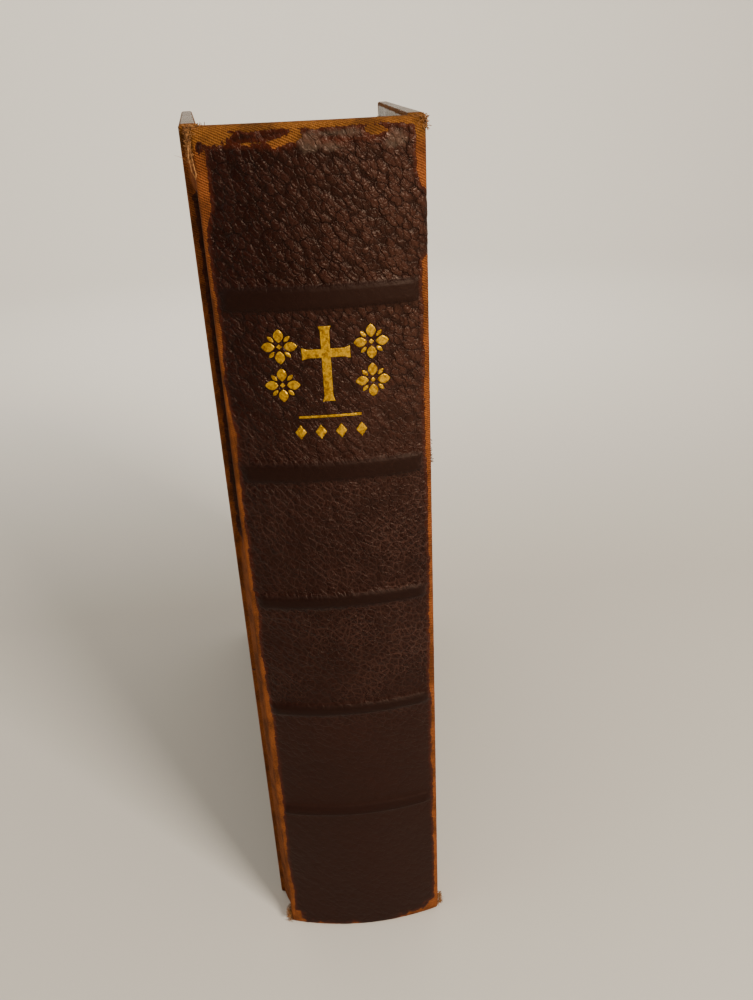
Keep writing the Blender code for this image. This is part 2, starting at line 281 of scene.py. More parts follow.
def new_group(name, inputs, outputs):
    """An empty shader group: a Vector input, float inputs with their values, and float outputs."""
    group = bpy.data.node_groups.new(name, "ShaderNodeTree")
    group.interface.new_socket("Vector", in_out="INPUT", socket_type="NodeSocketVector")
    for label, value in inputs.items():
        socket = group.interface.new_socket(label, in_out="INPUT", socket_type="NodeSocketFloat")
        socket.default_value = value
    for label in outputs:
        group.interface.new_socket(label, in_out="OUTPUT", socket_type="NodeSocketFloat")
    nodes = Nodes(group)
    return group, nodes, nodes.add("NodeGroupInput").outputs, nodes.add("NodeGroupOutput").inputs


GRAIN_SLANT = math.radians(48)


def pebbles(n, place, cell, stretch):
    """Embossed grain: (relief, network). Domed cells drawn out along a slant, with folds between them."""
    size = n.math("DIVIDE", 1.0, cell)
    wander = n.noise(place, n.times(size, 0.9), 3.0, 0.6).outputs["Color"]
    centred = n.vector("SUBTRACT", wander, (0.5, 0.5, 0.5))
    pushed = n.vector("ADD", place, n.scale(centred, n.times(cell, 1.1)))
    slant = {"Vector": pushed, "Angle": GRAIN_SLANT}
    slanted = n.add("ShaderNodeVectorRotate", slant, rotation_type="Z_AXIS")
    drawn = n.minus(1.0, n.times(stretch, 0.36))
    squeeze = n.add("ShaderNodeCombineXYZ", {"X": drawn, "Y": 1.0, "Z": 0.0}).outputs[0]
    laid = n.vector("MULTIPLY", slanted.outputs[0], squeeze)
    small_size = n.times(size, 1.9)
    from_edge = n.cells(laid, size, "DISTANCE_TO_EDGE")
    from_small_edge = n.cells(laid, small_size, "DISTANCE_TO_EDGE")
    away = n.cells(laid, size, "F1")
    dome = n.minus(1.0, n.times(n.times(away, away), 1.5))
    valley = n.ramp(from_edge, 0.0, 0.14)
    bead = n.ramp(from_small_edge, -0.05, 0.30)
    long_place = n.vector("MULTIPLY", laid, (0.40, 1.0, 1.0))
    folds = n.noise(long_place, n.times(size, 0.40), 2.0).outputs["Fac"]
    crease = n.ramp(n.math("ABSOLUTE", n.minus(folds, 0.5)), 0.0, 0.09)
    body = n.plus(n.times(dome, 0.55), n.times(valley, 0.25))
    body = n.plus(body, n.times(bead, 0.20))
    relief = n.times(body, n.plus(n.times(crease, 0.50), 0.50))
    thin = n.ramp(from_edge, 0.0, 0.15, 1.0, 0.0)
    thinner = n.ramp(from_small_edge, 0.0, 0.20, 0.6, 0.0)
    return relief, n.math("MAXIMUM", thin, thinner)


def rubbed_bare(n, place, rub):
    """Where the coating is gone: (bare, near). rub is how far inside a rubbed edge a point is."""
    torn = n.noise(place, 330.0, 3.0, 0.65).outputs["Fac"]
    chipped = n.noise(place, 1900.0, 2.0).outputs["Fac"]
    push = n.plus(n.times(n.minus(torn, 0.5), 0.0014), rub)
    push = n.plus(n.times(n.minus(chipped, 0.5), 0.0006), push)
    return n.ramp(push, -0.00004, 0.00006), n.ramp(push, -0.0010, 0.0)


def pebble_grain_group():
    inputs = {"Cell": 0.0017, "Stretch": 0.0}
    group, n, given, out = new_group("pebble_grain", inputs, ("Relief", "Network"))
    relief, network = pebbles(n, given["Vector"], given["Cell"], given["Stretch"])
    n.feed(out["Relief"], relief)
    n.feed(out["Network"], network)
    return group


def twill_weave_group():
    """A twill: fine diagonal ribs, each broken into short yarn floats."""
    group, n, given, out = new_group("twill_weave", {"Pitch": 0.00046}, ("Height", "Shade"))
    waver = n.noise(given["Vector"], 500.0, 2.0).outputs["Color"]
    drift = n.scale(n.vector("SUBTRACT", waver, (0.5, 0.5, 0.5)), 0.00030)
    point = n.add("ShaderNodeSeparateXYZ", {"Vector": n.vector("ADD", given["Vector"], drift)}).outputs
    across = n.plus(point["X"], point["Z"])
    turn = n.math("DIVIDE", math.tau, given["Pitch"])
    rib_place = n.plus(n.times(across, 0.45), point["Y"])
    rib = n.math("SINE", n.times(rib_place, turn))
    float_place = n.minus(n.times(across, 1.35), n.times(point["Y"], 0.4))
    yarn = n.math("SINE", n.times(float_place, turn))
    both = n.plus(n.times(rib, 0.33), n.times(yarn, 0.15))
    n.feed(out["Height"], n.plus(both, 0.5))
    fuzz = n.noise(given["Vector"], 2600.0, 2.0).outputs["Fac"]
    n.feed(out["Shade"], n.plus(n.times(both, 0.60), fuzz))
    return group


def rubbing_group():
    group, n, given, out = new_group("rubbing", {"Rub": -1.0}, ("Bare", "Near"))
    bare, near = rubbed_bare(n, given["Vector"], given["Rub"])
    n.feed(out["Bare"], bare)
    n.feed(out["Near"], near)
    return group


PEBBLE_GRAIN, TWILL_WEAVE, RUBBING = pebble_grain_group(), twill_weave_group(), rubbing_group()
SPINE_CELL, SPINE_STRETCH = 0.0013, 1.0
COVER_CELL, COVER_STRETCH = 0.0016, 0.3
HEAD_SUNNED = 0.1995
CRISP_LOW, CRISP_HIGH, CRISP_LEAST = 0.040, 0.160, 0.20
NET_LOW, NET_FULL, NET_FADING, NET_GONE = 0.055, 0.095, 0.135, 0.172
# Pairs of colours run from a darker mottle to a lighter one.
COATING = ((0.0068, 0.0009, 0.0006, 1.0), (0.0160, 0.0030, 0.0020, 1.0))
FADED_COATING = ((0.0095, 0.0028, 0.0020, 1.0), (0.0155, 0.0047, 0.0034, 1.0))
# Painted light: a lighter coating for the right side of the upper panels, where the window light falls.
LIT_COATING = (0.048, 0.0185, 0.0112, 1.0)
# Painted shade: a nearly black coating for the hollows of the grain, the smooth faces of the bands and the middle
# panels.
SHADE_PAINTED_COATING = (0.0045, 0.0006, 0.0004, 1.0)
RUBBED_COATING = (0.070, 0.012, 0.004, 1.0)
DUSTY_NET = (0.076, 0.033, 0.024, 1.0)
# Greyed coating for real scuffs on the spine, and a painted grey sheen on the boards' top edges.
SCUFF_AND_SHEEN_COATING = ((0.06, 0.036, 0.026, 1.0), (0.20, 0.145, 0.100, 1.0))
SHADED_TWILL = ((0.085, 0.021, 0.0055, 1.0), (0.27, 0.080, 0.018, 1.0))
SUNNED_TWILL = ((0.090, 0.029, 0.0056, 1.0), (0.240, 0.090, 0.019, 1.0))
COATING_SPECULAR, COATING_TINT = 0.13, (1.0, 0.74, 0.58, 1.0)
RELIEF_DEPTH = 0.00035
TWILL_ROUGHNESS = 0.90


def grey(n, value):
    return n.add("ShaderNodeCombineColor", {"Red": value, "Green": value, "Blue": value}).outputs[0]


def leathercloth_material(name, cell, stretch):
    """The covering. Its grain is sharp and glossy towards the head, and rubbed flat towards the tail."""
    material, n, shader = new_material(name)
    lay = n.lay()
    laid = n.add("ShaderNodeSeparateXYZ", {"Vector": lay}).outputs
    height = laid["Y"]
    lit_side = n.ramp(laid["X"], -0.020, 0.021)
    crisp = n.ramp(height, CRISP_LOW, CRISP_HIGH, CRISP_LEAST, 1.0)
    cloudy = n.noise(lay, 55.0, 3.0).outputs["Fac"]
    plain = n.minus(1.0, n.attribute("smooth"))
    pressed = n.ramp(n.attribute("smooth"), 0.0, 0.45)
    grain = n.use(PEBBLE_GRAIN, Vector=lay, Cell=cell, Stretch=stretch)
    twill = n.use(TWILL_WEAVE, Vector=lay)
    rubbed = n.use(RUBBING, Vector=lay, Rub=n.attribute("rub"))
    fine = n.noise(lay, 3800.0, 2.0).outputs["Fac"]

    dust_and_painted_light = n.ramp(n.noise(lay, 95.0, 3.0).outputs["Fac"], 0.25, 0.70, 0.30, 1.0)
    # Dust and painted light: the dust in the grain's lines is painted stronger towards the lit right side.
    dust_and_painted_light = n.times(dust_and_painted_light, n.plus(n.times(lit_side, 0.6), 0.5))
    net_share = n.times(n.ramp(height, NET_LOW, NET_FULL), n.ramp(height, NET_FADING, NET_GONE, 1.0, 0.0))
    network = n.times(n.times(grain["Network"], plain), n.times(dust_and_painted_light, net_share))
    dark = n.mix(cloudy, *COATING)
    faded = n.mix(cloudy, *FADED_COATING)
    base = n.mix(n.ramp(height, 0.035, 0.105, 1.0, 0.0), dark, faded)
    # Painted light: the right side of the upper panels is painted lighter, as if lit by the window.
    lit_share = n.times(lit_side, n.ramp(height, 0.115, 0.165, 0.0, 0.62))
    base = n.mix(lit_share, base, LIT_COATING)
    # Painted shade: the coating is painted darker in the hollows of the grain, on the smooth faces of the bands
    # and across the middle panels.
    hollow_shade = n.times(n.ramp(grain["Relief"], 0.25, 0.80, 0.75, 0.0), n.ramp(height, 0.050, 0.105))
    painted_shade = n.math("MAXIMUM", hollow_shade, n.times(pressed, n.ramp(height, 0.030, 0.090, 0.25, 0.8)))
    waist = n.times(n.ramp(height, 0.060, 0.085), n.ramp(height, 0.125, 0.155, 0.50, 0.0))
    painted_shade = n.math("MAXIMUM", painted_shade, waist)
    base = n.mix(painted_shade, base, SHADE_PAINTED_COATING)
    netted = n.mix(n.times(network, 0.45), base, DUSTY_NET)
    reddened = n.mix(n.times(rubbed["Near"], 0.40), netted, RUBBED_COATING)
    # The scuff colour greys the scuffed spots on the spine; on the covers it is a painted reflection, a grey sheen
    # along the boards' top edges.
    coat = n.mix(n.attribute("scuff"), reddened, n.mix(fine, *SCUFF_AND_SHEEN_COATING))

    shade = n.ramp(twill["Shade"], 0.10, 0.95)
    shady = n.mix(shade, *SHADED_TWILL)
    sunned = n.mix(shade, *SUNNED_TWILL)
    weft = n.mix(n.ramp(height, HEAD_SUNNED - 0.002, HEAD_SUNNED + 0.001), shady, sunned)
    grime = n.ramp(n.noise(lay, 170.0, 4.0, 0.6).outputs["Fac"], 0.36, 0.60, 0.50, 1.0)
    cloth = n.mix(1.0, weft, grey(n, grime), blend="MULTIPLY")
    n.feed(shader.inputs["Base Color"], n.mix(rubbed["Bare"], coat, cloth))

    gloss = n.plus(n.ramp(cloudy, 0.3, 0.7, 0.0, 0.10), n.ramp(height, 0.045, 0.085, 0.50, 0.235))
    gloss = n.plus(gloss, n.times(pressed, 0.24))
    n.feed(shader.inputs["Roughness"], n.mix(rubbed["Bare"], gloss, TWILL_ROUGHNESS, kind="FLOAT"))
    embossed = n.times(n.times(grain["Relief"], plain), crisp)
    coat_height = n.plus(n.plus(embossed, n.times(fine, 0.10)), 0.30)
    cloth_height = n.times(twill["Height"], 0.40)
    relief = n.mix(rubbed["Bare"], coat_height, cloth_height, kind="FLOAT")
    n.bump(shader, 1.0, RELIEF_DEPTH, relief)
    shader.inputs["Specular IOR Level"].default_value = COATING_SPECULAR
    shader.inputs["Specular Tint"].default_value = COATING_TINT
    return material


COVER_HEIGHT = cad_high.z - cad_low.z
SPINE_LEATHER = leathercloth_material("spine_leathercloth", SPINE_CELL, SPINE_STRETCH)
COVER_LEATHER = leathercloth_material("cover_leathercloth", COVER_CELL, COVER_STRETCH)

# ---------------------------------------------------------------------------------------------
# The spine of the case: leathercloth glued over a strip of card and turned in at head and tail.
# Five strips under it raise the bands. The cloth rolls over at the head and tail, and goes round a
# ridge at each side into the joint.
RIDGE_RADIUS = 0.0011
SPINE_BULGE = 0.0030
CLOTH = 0.0005
CASE_THICKNESS = 0.0024
TURN_IN = 0.015
WALL_END_Y = 0.0046
BAND_HEIGHTS = tuple(sum(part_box(f"band_strip_{k}")[i].z for i in (0, 1)) / 2 for k in range(1, 6))
BAND_HALVES = (0.0019, 0.0018, 0.0012, 0.0009, 0.0008)
BAND_RISE = 0.0008
STEP = 0.00050
RIDGE_INSET = 0.00060
RIDGE_SHIFT = 0.00025
EMBOSS_DEPTH = 0.00017
COAT_THICKNESS = 0.00006

spine_low, spine_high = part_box("spine_cloth")
SPINE_MIDDLE = (spine_low.x + spine_high.x) / 2 + RIDGE_SHIFT
SPINE_HALF = (spine_high.x - spine_low.x) / 2 - RIDGE_INSET
SPINE_RADIUS = (SPINE_HALF**2 + SPINE_BULGE**2) / (2 * SPINE_BULGE)
ARC_Y = SPINE_RADIUS - CASE_THICKNESS / 2


def smoothstep(value, low, high):
    t = min(1.0, max(0.0, (value - low) / (high - low)))
    return t * t * (3 - 2 * t)


def spine_outline(depth):
    """Points (x, y) across the spine, at a depth below its outer face, from left to right."""
    half, radius = SPINE_HALF - depth, max(RIDGE_RADIUS - depth, 0.00005)
    arc_radius = SPINE_RADIUS - depth
    inner = half - radius
    centre_y = ARC_Y - math.sqrt((arc_radius - radius) ** 2 - inner**2)
    edge_turn = math.asin(inner / (arc_radius - radius))
    right = []
    face_steps = round(SPINE_HALF / STEP)
    for i in range(face_steps + 1):
        turn = edge_turn * i / face_steps
        right.append((arc_radius * math.sin(turn), ARC_Y - arc_radius * math.cos(turn)))
    corner_steps = 6
    for i in range(1, corner_steps + 1):
        turn = edge_turn + (math.pi / 2 - edge_turn) * i / corner_steps
        right.append((inner + radius * math.sin(turn), centre_y - radius * math.cos(turn)))
    wall_steps = 5
    for i in range(1, wall_steps + 1):
        right.append((half, centre_y + (WALL_END_Y - centre_y) * i / wall_steps))
    left = [(-x, y) for x, y in reversed(right[1:])]
    return [(SPINE_MIDDLE + x, y) for x, y in left + right]


def band_rise(z):
    """How far the five bands raise the face at a height."""
    rise = 0.0
    for middle, half in zip(BAND_HEIGHTS, BAND_HALVES):
        away = abs(z - middle)
        rise = max(rise, BAND_RISE * (1 - smoothstep(away, half * 0.8, half * 0.8 + 0.0012)))
    return rise


def spine_profile():
    """(depth, z) up the spine: the tail's turn-in and roll, the face, and the head's roll and turn-in."""
    fold = CASE_THICKNESS / 2
    steps = 8
    lower = [(CASE_THICKNESS, TURN_IN), (CASE_THICKNESS, TURN_IN / 2), (CASE_THICKNESS, fold)]
    for i in range(1, steps):
        turn = math.pi * i / steps
        lower.append((fold + fold * math.cos(turn), fold - fold * math.sin(turn)))
    face_steps = round((COVER_HEIGHT - 2 * fold) / STEP)
    face = [(0.0, fold + (COVER_HEIGHT - 2 * fold) * i / face_steps) for i in range(face_steps + 1)]
    upper = [(depth, COVER_HEIGHT - z) for depth, z in reversed(lower)]
    return lower + face + upper


def waver_at(seed, place):
    """A smooth, uneven value from -1 to 1 along a line. Each seed gives another one."""
    return 1.6 * noise.noise(Vector((seed * 3.71 + 0.37, place, seed * 1.93 + 0.61)))


def ridge_width(side, z):
    """How wide a strip the coating has lost along a ridge of the spine."""
    slow = waver_at(side + 2, z * 70)
    if side < 0:
        middle = 0.0010 + 0.0008 * slow
        head = 0.0011 * smoothstep(z, 0.184, 0.190)
        tail = 0.0005 * (1 - smoothstep(z, 0.010, 0.120))
        return max(0.0001, middle) + head + tail
    kept = smoothstep(z, 0.178, 0.181) * (1 - smoothstep(z, 0.189, 0.192))
    head = 0.0012 * smoothstep(z, 0.190, 0.195)
    return max(0.0003, 0.0011 + 0.0003 * slow) * (1 - kept) - 0.001 * kept + head


# Spots of wear: (across, from the head, half width, half height). In the torn ones the coating is
# gone, in the kept ones it has held on in bare cloth, and in the scuffed ones it is greyed. The worn
# spots at the tail are torn ones too, and are given from the tail.
TORN_SPOTS = (
    (-0.0052, 0.0032, 0.0026, 0.0007),
    (-0.0024, 0.0024, 0.0013, 0.0008),
    (0.0117, 0.0019, 0.0020, 0.0009),
    (-0.0105, 0.0033, 0.0050, 0.00012),
    (-0.0172, 0.0014, 0.0036, 0.0019),
)
KEPT_SPOTS = ((-0.0192, 0.0036, 0.0006, 0.0012), (0.0152, 0.0016, 0.0022, 0.0004))
SCUFFED_SPOTS = (
    (-0.0002, 0.0033, 0.0022, 0.0018),
    (0.0062, 0.0021, 0.0042, 0.0006),
    (0.0150, 0.0036, 0.0018, 0.0014),
    (0.0038, 0.0042, 0.0022, 0.0008),
)
WORN_TAIL_SPOTS = (
    (-0.0188, 0.0010, 0.0020, 0.0036),
    (-0.0112, 0.0002, 0.0044, 0.0012),
    (-0.0030, 0.0002, 0.0014, 0.0013),
    (0.0140, 0.0002, 0.0050, 0.0018),
    (0.0188, 0.0012, 0.0022, 0.0034),
)


def inside_spot(spot, x, below):
    """How far inside an oval, ragged spot a point is, in metres. Negative is outside."""
    middle_x, middle_below, half_x, half_below = spot
    ragged = 1 + 0.45 * noise.noise(Vector((x * 900, below * 900, middle_x * 700)))
    reach = ragged * math.hypot((x - SPINE_MIDDLE - middle_x) / half_x, (below - middle_below) / half_below)
    return (1 - reach) * min(half_x, half_below)


def spine_rub(x, z, depth):
    """How far inside the rubbed edge a point of the spine is. Negative is on sound coating."""
    side = 1 if x > SPINE_MIDDLE else -1
    from_ridge = SPINE_HALF - abs(x - SPINE_MIDDLE)
    below = COVER_HEIGHT - z
    along_ridge = ridge_width(side, z) - from_ridge
    head = 0.0012 + 0.0003 * waver_at(5, x * 160) - below
    tail = -0.0002 + 0.0010 * waver_at(6, x * 130) - z
    tail_end = 0.0012 * smoothstep(x, 0.004, 0.012) - z
    low_spots = [inside_spot(spot, x, z) for spot in WORN_TAIL_SPOTS]
    corner = 0.0028 - math.hypot(from_ridge, below)
    low_corner = 0.0030 - math.hypot(from_ridge, z * 0.7)
    spots = [inside_spot(spot, x, below) for spot in TORN_SPOTS]
    rub = max(along_ridge, head, tail, tail_end, corner, low_corner, *spots, *low_spots, -0.005)
    if side > 0 or z < 0.186:
        rub = rub - 0.004 * (1 - smoothstep(from_ridge, -0.0024, -0.0016)) * smoothstep(below, 0.004, 0.006)
    kept = max(inside_spot(spot, x, below) for spot in KEPT_SPOTS)
    rub = min(rub, -2 * kept) if kept > 0 else rub
    return rub + (0.001 if depth > 0.0003 else 0.0)


def spine_scuff(x, z, depth):
    """Where the coating is greyed by scuffing: a strip and a few spots under the head."""
    below = COVER_HEIGHT - z
    nearest = max(inside_spot(spot, x, below) for spot in SCUFFED_SPOTS)
    return smoothstep(nearest, -0.0001, 0.0003) * (0.26 if depth < 0.0001 else 0.0)


def spine_waver(x, z):
    """Slow unevenness of the old card."""
    return 0.00014 * noise.noise(Vector((x * 60, z * 40, 2.3)))


def grid_mesh(name, rows, **values):
    """A sheet with its attributes, from rows of points. Rows go up the sheet, and points to the right."""
    count = len(rows[0])
    mesh = bpy.data.meshes.new(name)
    points = [p for row in rows for p in row]
    faces = [
        (j * count + i, j * count + i + 1, (j + 1) * count + i + 1, (j + 1) * count + i)
        for j in range(len(rows) - 1)
        for i in range(count - 1)
    ]
    mesh.from_pydata(points, [], faces)
    write_attributes(mesh, **values)
    mesh.shade_smooth()
    return mesh


def write_attributes(mesh, **values):
    """Stores a value for each point under its name: a place if it has three numbers, or else one number."""
    for name, numbers in values.items():
        kind, field = ("FLOAT_VECTOR", "vector") if np.ndim(numbers) == 2 else ("FLOAT", "value")
        mesh.attributes.new(name, kind, "POINT").data.foreach_set(field, np.ravel(numbers))


def add_piece(name, mesh, material):
    piece = bpy.data.objects.new(name, mesh)
    bpy.context.scene.collection.objects.link(piece)
    if material:
        mesh.materials.append(material)
    return piece


def apply_modifiers(piece):
    """Makes the evaluated mesh the piece's own."""
    graph = bpy.context.evaluated_depsgraph_get()
    finished = bpy.data.meshes.new_from_object(piece.evaluated_get(graph), depsgraph=graph)
    piece.modifiers.clear()
    piece.data = finished
    return piece


def thicken(piece, thickness, offset):
    shell = piece.modifiers.new("thickness", "SOLIDIFY")
    shell.thickness = thickness
    shell.offset = offset
    shell.use_rim = True
    return apply_modifiers(piece)


def face_point(x, z, lift=0.0):
    """A point on the spine's outer face, lifted off it by a little."""
    away = x - SPINE_MIDDLE
    out = lift + band_rise(z) * spine_side_fade(away) + spine_waver(x, z)
    radius = SPINE_RADIUS + out
    turn = math.asin(away / SPINE_RADIUS)
    return (SPINE_MIDDLE + radius * math.sin(turn), ARC_Y - radius * math.cos(turn), z)


def spine_side_fade(away):
    """The bands flatten out just before the ridges."""
    return 1 - smoothstep(abs(away), SPINE_HALF - 0.0035, SPINE_HALF - 0.0012)


def spine_covering_mesh():
    """The spine's sheet, with each point's place on the flat cloth and its wear."""
    rows, lay, rub, smooth, scuff = [], [], [], [], []
    outer = spine_outline(0.0)
    run = [0.0]
    for (x0, y0), (x1, y1) in zip(outer, outer[1:]):
        run.append(run[-1] + math.hypot(x1 - x0, y1 - y0))
    middle_run = run[-1] / 2
    for depth, z in spine_profile():
        outline = spine_outline(depth)
        face_share = 1.0 if depth == 0.0 else 0.0
        row = []
        for (x, y), (base_x, _), along in zip(outline, outer, run):
            away = base_x - SPINE_MIDDLE
            raised = band_rise(z) * spine_side_fade(away) * face_share
            out = raised + spine_waver(base_x, z) * face_share * spine_side_fade(away)
            turn = math.asin(max(-1, min(1, away / SPINE_RADIUS)))
            row.append((x + out * math.sin(turn), y - out * math.cos(turn), z))
            lay.append((along - middle_run, z, depth))
            rub.append(spine_rub(base_x, z, depth))
            smooth.append(0.9 * raised / BAND_RISE if face_share else 1.0)
            scuff.append(spine_scuff(base_x, z, depth))
        rows.append(row)
    return grid_mesh("spine_covering", rows, lay=lay, rub=rub, smooth=smooth, scuff=scuff)


def geometry_tree(name, **labels):
    """An empty geometry node tree: (tree, nodes, inputs). The inputs' labels are given by kind."""
    tree = bpy.data.node_groups.new(name, "GeometryNodeTree")
    tree.interface.new_socket("Geometry", in_out="OUTPUT", socket_type="NodeSocketGeometry")
    for kind, kind_labels in labels.items():
        for label in kind_labels:
            tree.interface.new_socket(label, in_out="INPUT", socket_type=f"NodeSocket{kind}")
    nodes = Nodes(tree)
    return tree, nodes, nodes.add("NodeGroupInput").outputs


def embossing_tree():
    """Presses the pebbles into a sheet, and lowers it where the coating is gone."""
    labels = {"Geometry": ("Geometry",), "Float": ("Cell", "Stretch", "Depth", "Coat")}
    tree, n, given = geometry_tree("embossing", **labels)
    lay = n.stored("lay", "FLOAT_VECTOR")
    smooth, rub = n.stored("smooth"), n.stored("rub")
    height = n.add("ShaderNodeSeparateXYZ", {"Vector": lay}).outputs["Y"]
    crisp = n.ramp(height, CRISP_LOW, CRISP_HIGH, CRISP_LEAST, 1.0)
    relief, _ = pebbles(n, lay, given["Cell"], given["Stretch"])
    bare, _ = rubbed_bare(n, lay, rub)
    pressed = n.times(n.minus(relief, 0.75), given["Depth"])
    share = n.times(n.minus(1.0, smooth), crisp)
    coated = n.times(n.times(pressed, share), n.minus(1.0, bare))
    lift = n.minus(coated, n.times(bare, given["Coat"]))
    normal = n.add("GeometryNodeInputNormal").outputs[0]
    inputs = {"Geometry": given["Geometry"], "Offset": n.scale(normal, lift)}
    moved = n.add("GeometryNodeSetPosition", inputs)
    n.add("NodeGroupOutput", {"Geometry": moved.outputs["Geometry"]})
    return tree


def run_tree(piece, tree, values):
    """Runs a geometry node tree on a piece with these values, and keeps the plain mesh that it makes."""
    modifier = piece.modifiers.new(tree.name, "NODES")
    modifier.node_group = tree
    for item in tree.interface.items_tree:
        if item.item_type == "SOCKET" and item.in_out == "INPUT" and item.name in values:
            modifier[item.identifier] = values[item.name]
    return apply_modifiers(piece)


spine_covering = add_piece("spine_covering", spine_covering_mesh(), SPINE_LEATHER)
embossing = {"Cell": SPINE_CELL, "Stretch": SPINE_STRETCH, "Depth": EMBOSS_DEPTH, "Coat": COAT_THICKNESS}
run_tree(spine_covering, embossing_tree(), embossing)
thicken(spine_covering, CLOTH * 0.8, -1.0)
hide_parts("spine_cloth")
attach(spine_covering, "text_block")

# ---------------------------------------------------------------------------------------------
# Under the spine's covering lies a strip of manila card, bent to the round of the backs. Five narrow
# strips of the same card are glued across it, and they raise the bands.
CARD_DEPTH, CARD_THICKNESS, CARD_HALF = 0.0012, 0.0008, SPINE_HALF - 0.0016
STRIP_DEPTH, STRIP_THICKNESS, STRIP_HALF = 0.00030, 0.0005, SPINE_HALF - 0.0030
CARD_END = 0.0018
STRIP_HALF_HEIGHT = 0.0013


def fibre_material(name, light, dark, size, roughness, weave=0.0):
    """Pulp board and card, or plain woven cloth where weave is its thread spacing."""
    material, n, shader = new_material(name)
    place = n.place()
    pulp = n.noise(place, size, 5.0, 0.65).outputs["Fac"]
    relief = pulp
    if weave:
        point = n.add("ShaderNodeSeparateXYZ", {"Vector": place}).outputs
        over = n.math("SINE", n.times(n.plus(point["X"], point["Y"]), math.tau / weave))
        up = n.math("SINE", n.times(point["Z"], math.tau / weave))
        relief = n.plus(n.times(n.math("MAXIMUM", over, up), 0.4), n.times(pulp, 0.4))
    n.feed(shader.inputs["Base Color"], n.mix(n.ramp(relief, 0.2, 0.8), dark, light))
    n.feed(shader.inputs["Roughness"], n.ramp(pulp, 0.3, 0.7, roughness, roughness - 0.08))
    n.bump(shader, 0.6, 0.00008, relief)
    return material


def bent_strip(name, depth, thickness, half, low, high, steps_up):
    """A strip of card on the spine's round, with softened edges."""
    rows = []
    for j in range(steps_up + 1):
        turns = [math.asin(half / SPINE_RADIUS) * (i / 20 - 1) for i in range(41)]
        radius = SPINE_RADIUS - depth
        z = low + (high - low) * j / steps_up
        rows.append([(SPINE_MIDDLE + radius * math.sin(t), ARC_Y - radius * math.cos(t), z) for t in turns])
    strip = add_piece(name, grid_mesh(name, rows), MANILA)
    shell = strip.modifiers.new("thickness", "SOLIDIFY")
    shell.thickness, shell.offset = thickness, 0.0
    soften = strip.modifiers.new("edges", "BEVEL")
    soften.width, soften.segments, soften.limit_method = thickness * 0.3, 2, "ANGLE"
    return apply_modifiers(strip)


MANILA = fibre_material("manila_card", (0.50, 0.36, 0.20, 1), (0.34, 0.23, 0.12, 1), 1200.0, 0.85)
ends = (CARD_END, COVER_HEIGHT - CARD_END)
card = bent_strip("spine_card", CARD_DEPTH, CARD_THICKNESS, CARD_HALF, *ends, 40)
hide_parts("spine_inlay")
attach(card, "text_block")
for number, middle in enumerate(BAND_HEIGHTS, 1):
    ends = (middle - STRIP_HALF_HEIGHT, middle + STRIP_HALF_HEIGHT)
    strip = bent_strip(f"raised_band_{number}", STRIP_DEPTH, STRIP_THICKNESS, STRIP_HALF, *ends, 3)
    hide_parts(f"band_strip_{number}")
    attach(strip, "text_block")

# ---------------------------------------------------------------------------------------------
# The covers: the same leathercloth, wrapped round each board and turned in, with a joint of bare
# cloth pressed down between the board's shoulder and the spine. The joint bends as a cover opens.
JOINT_WIDTH = 0.006
BOARD_ROUND = 0.0006
COVER_OUT = 0.00315
COVER_IN = -0.00025
SHOULDER_RUB = 0.0017
SHOULDER_BARE = 0.0011
GROOVE_OUT = 0.0003
FACE_STEP = 0.0022
JOINT_STEP = 0.0015
JOINT_INSET = 0.0004
JOINT_BEND = JOINT_WIDTH * 0.6
JOINT_LAY = 0.025


def hinge_of(prefix):
    """Side (+1 or -1), axis place and rest angle of a cover, from its joint."""
    joint = next(j for j in frame["joints"] if j["name"] == f"{prefix}_cover_hinge")
    side = 1 if joint["pos_m"][0] > 0 else -1
    return side, abs(joint["pos_m"][0]), joint["pos_m"][1], math.radians(-joint["range_deg"][0])


def turned(point, side, hinge_x, hinge_y, angle):
    """A point given as (out, along, z) from a hinge's axis, turned open by an angle."""
    out, along, z = point
    swung_out = out * math.cos(angle) + along * math.sin(angle)
    swung_along = along * math.cos(angle) - out * math.sin(angle)
    return (side * (hinge_x + swung_out), hinge_y + swung_along, z)


def board_rub(out, along, z, width):
    """How far inside a rubbed edge a point of a cover is: edges a little, corners and shoulder more."""
    face = min(COVER_OUT - out, out - COVER_IN)
    gaps = sorted((along - JOINT_WIDTH, width - along, z, COVER_HEIGHT - z))
    if gaps[0] > BOARD_ROUND:
        edge = 0.0004 - gaps[0]
    else:
        edge = 0.0004 - face
    slow = noise.noise(Vector((3.1, z * 75, 1.7)))
    shoulder = SHOULDER_RUB + 0.0008 * slow - (along - JOINT_WIDTH) - 0.4 * max(0.0, COVER_OUT - out)
    low_end = min(z, COVER_HEIGHT - z)
    ragged = 0.0012 * noise.noise(Vector((along * 400, z * 400, 5.0)))
    corner = 0.0052 + ragged - 0.7 * (width - along) - 0.9 * low_end - 0.2 * face
    return max(edge, shoulder, corner, -0.005)


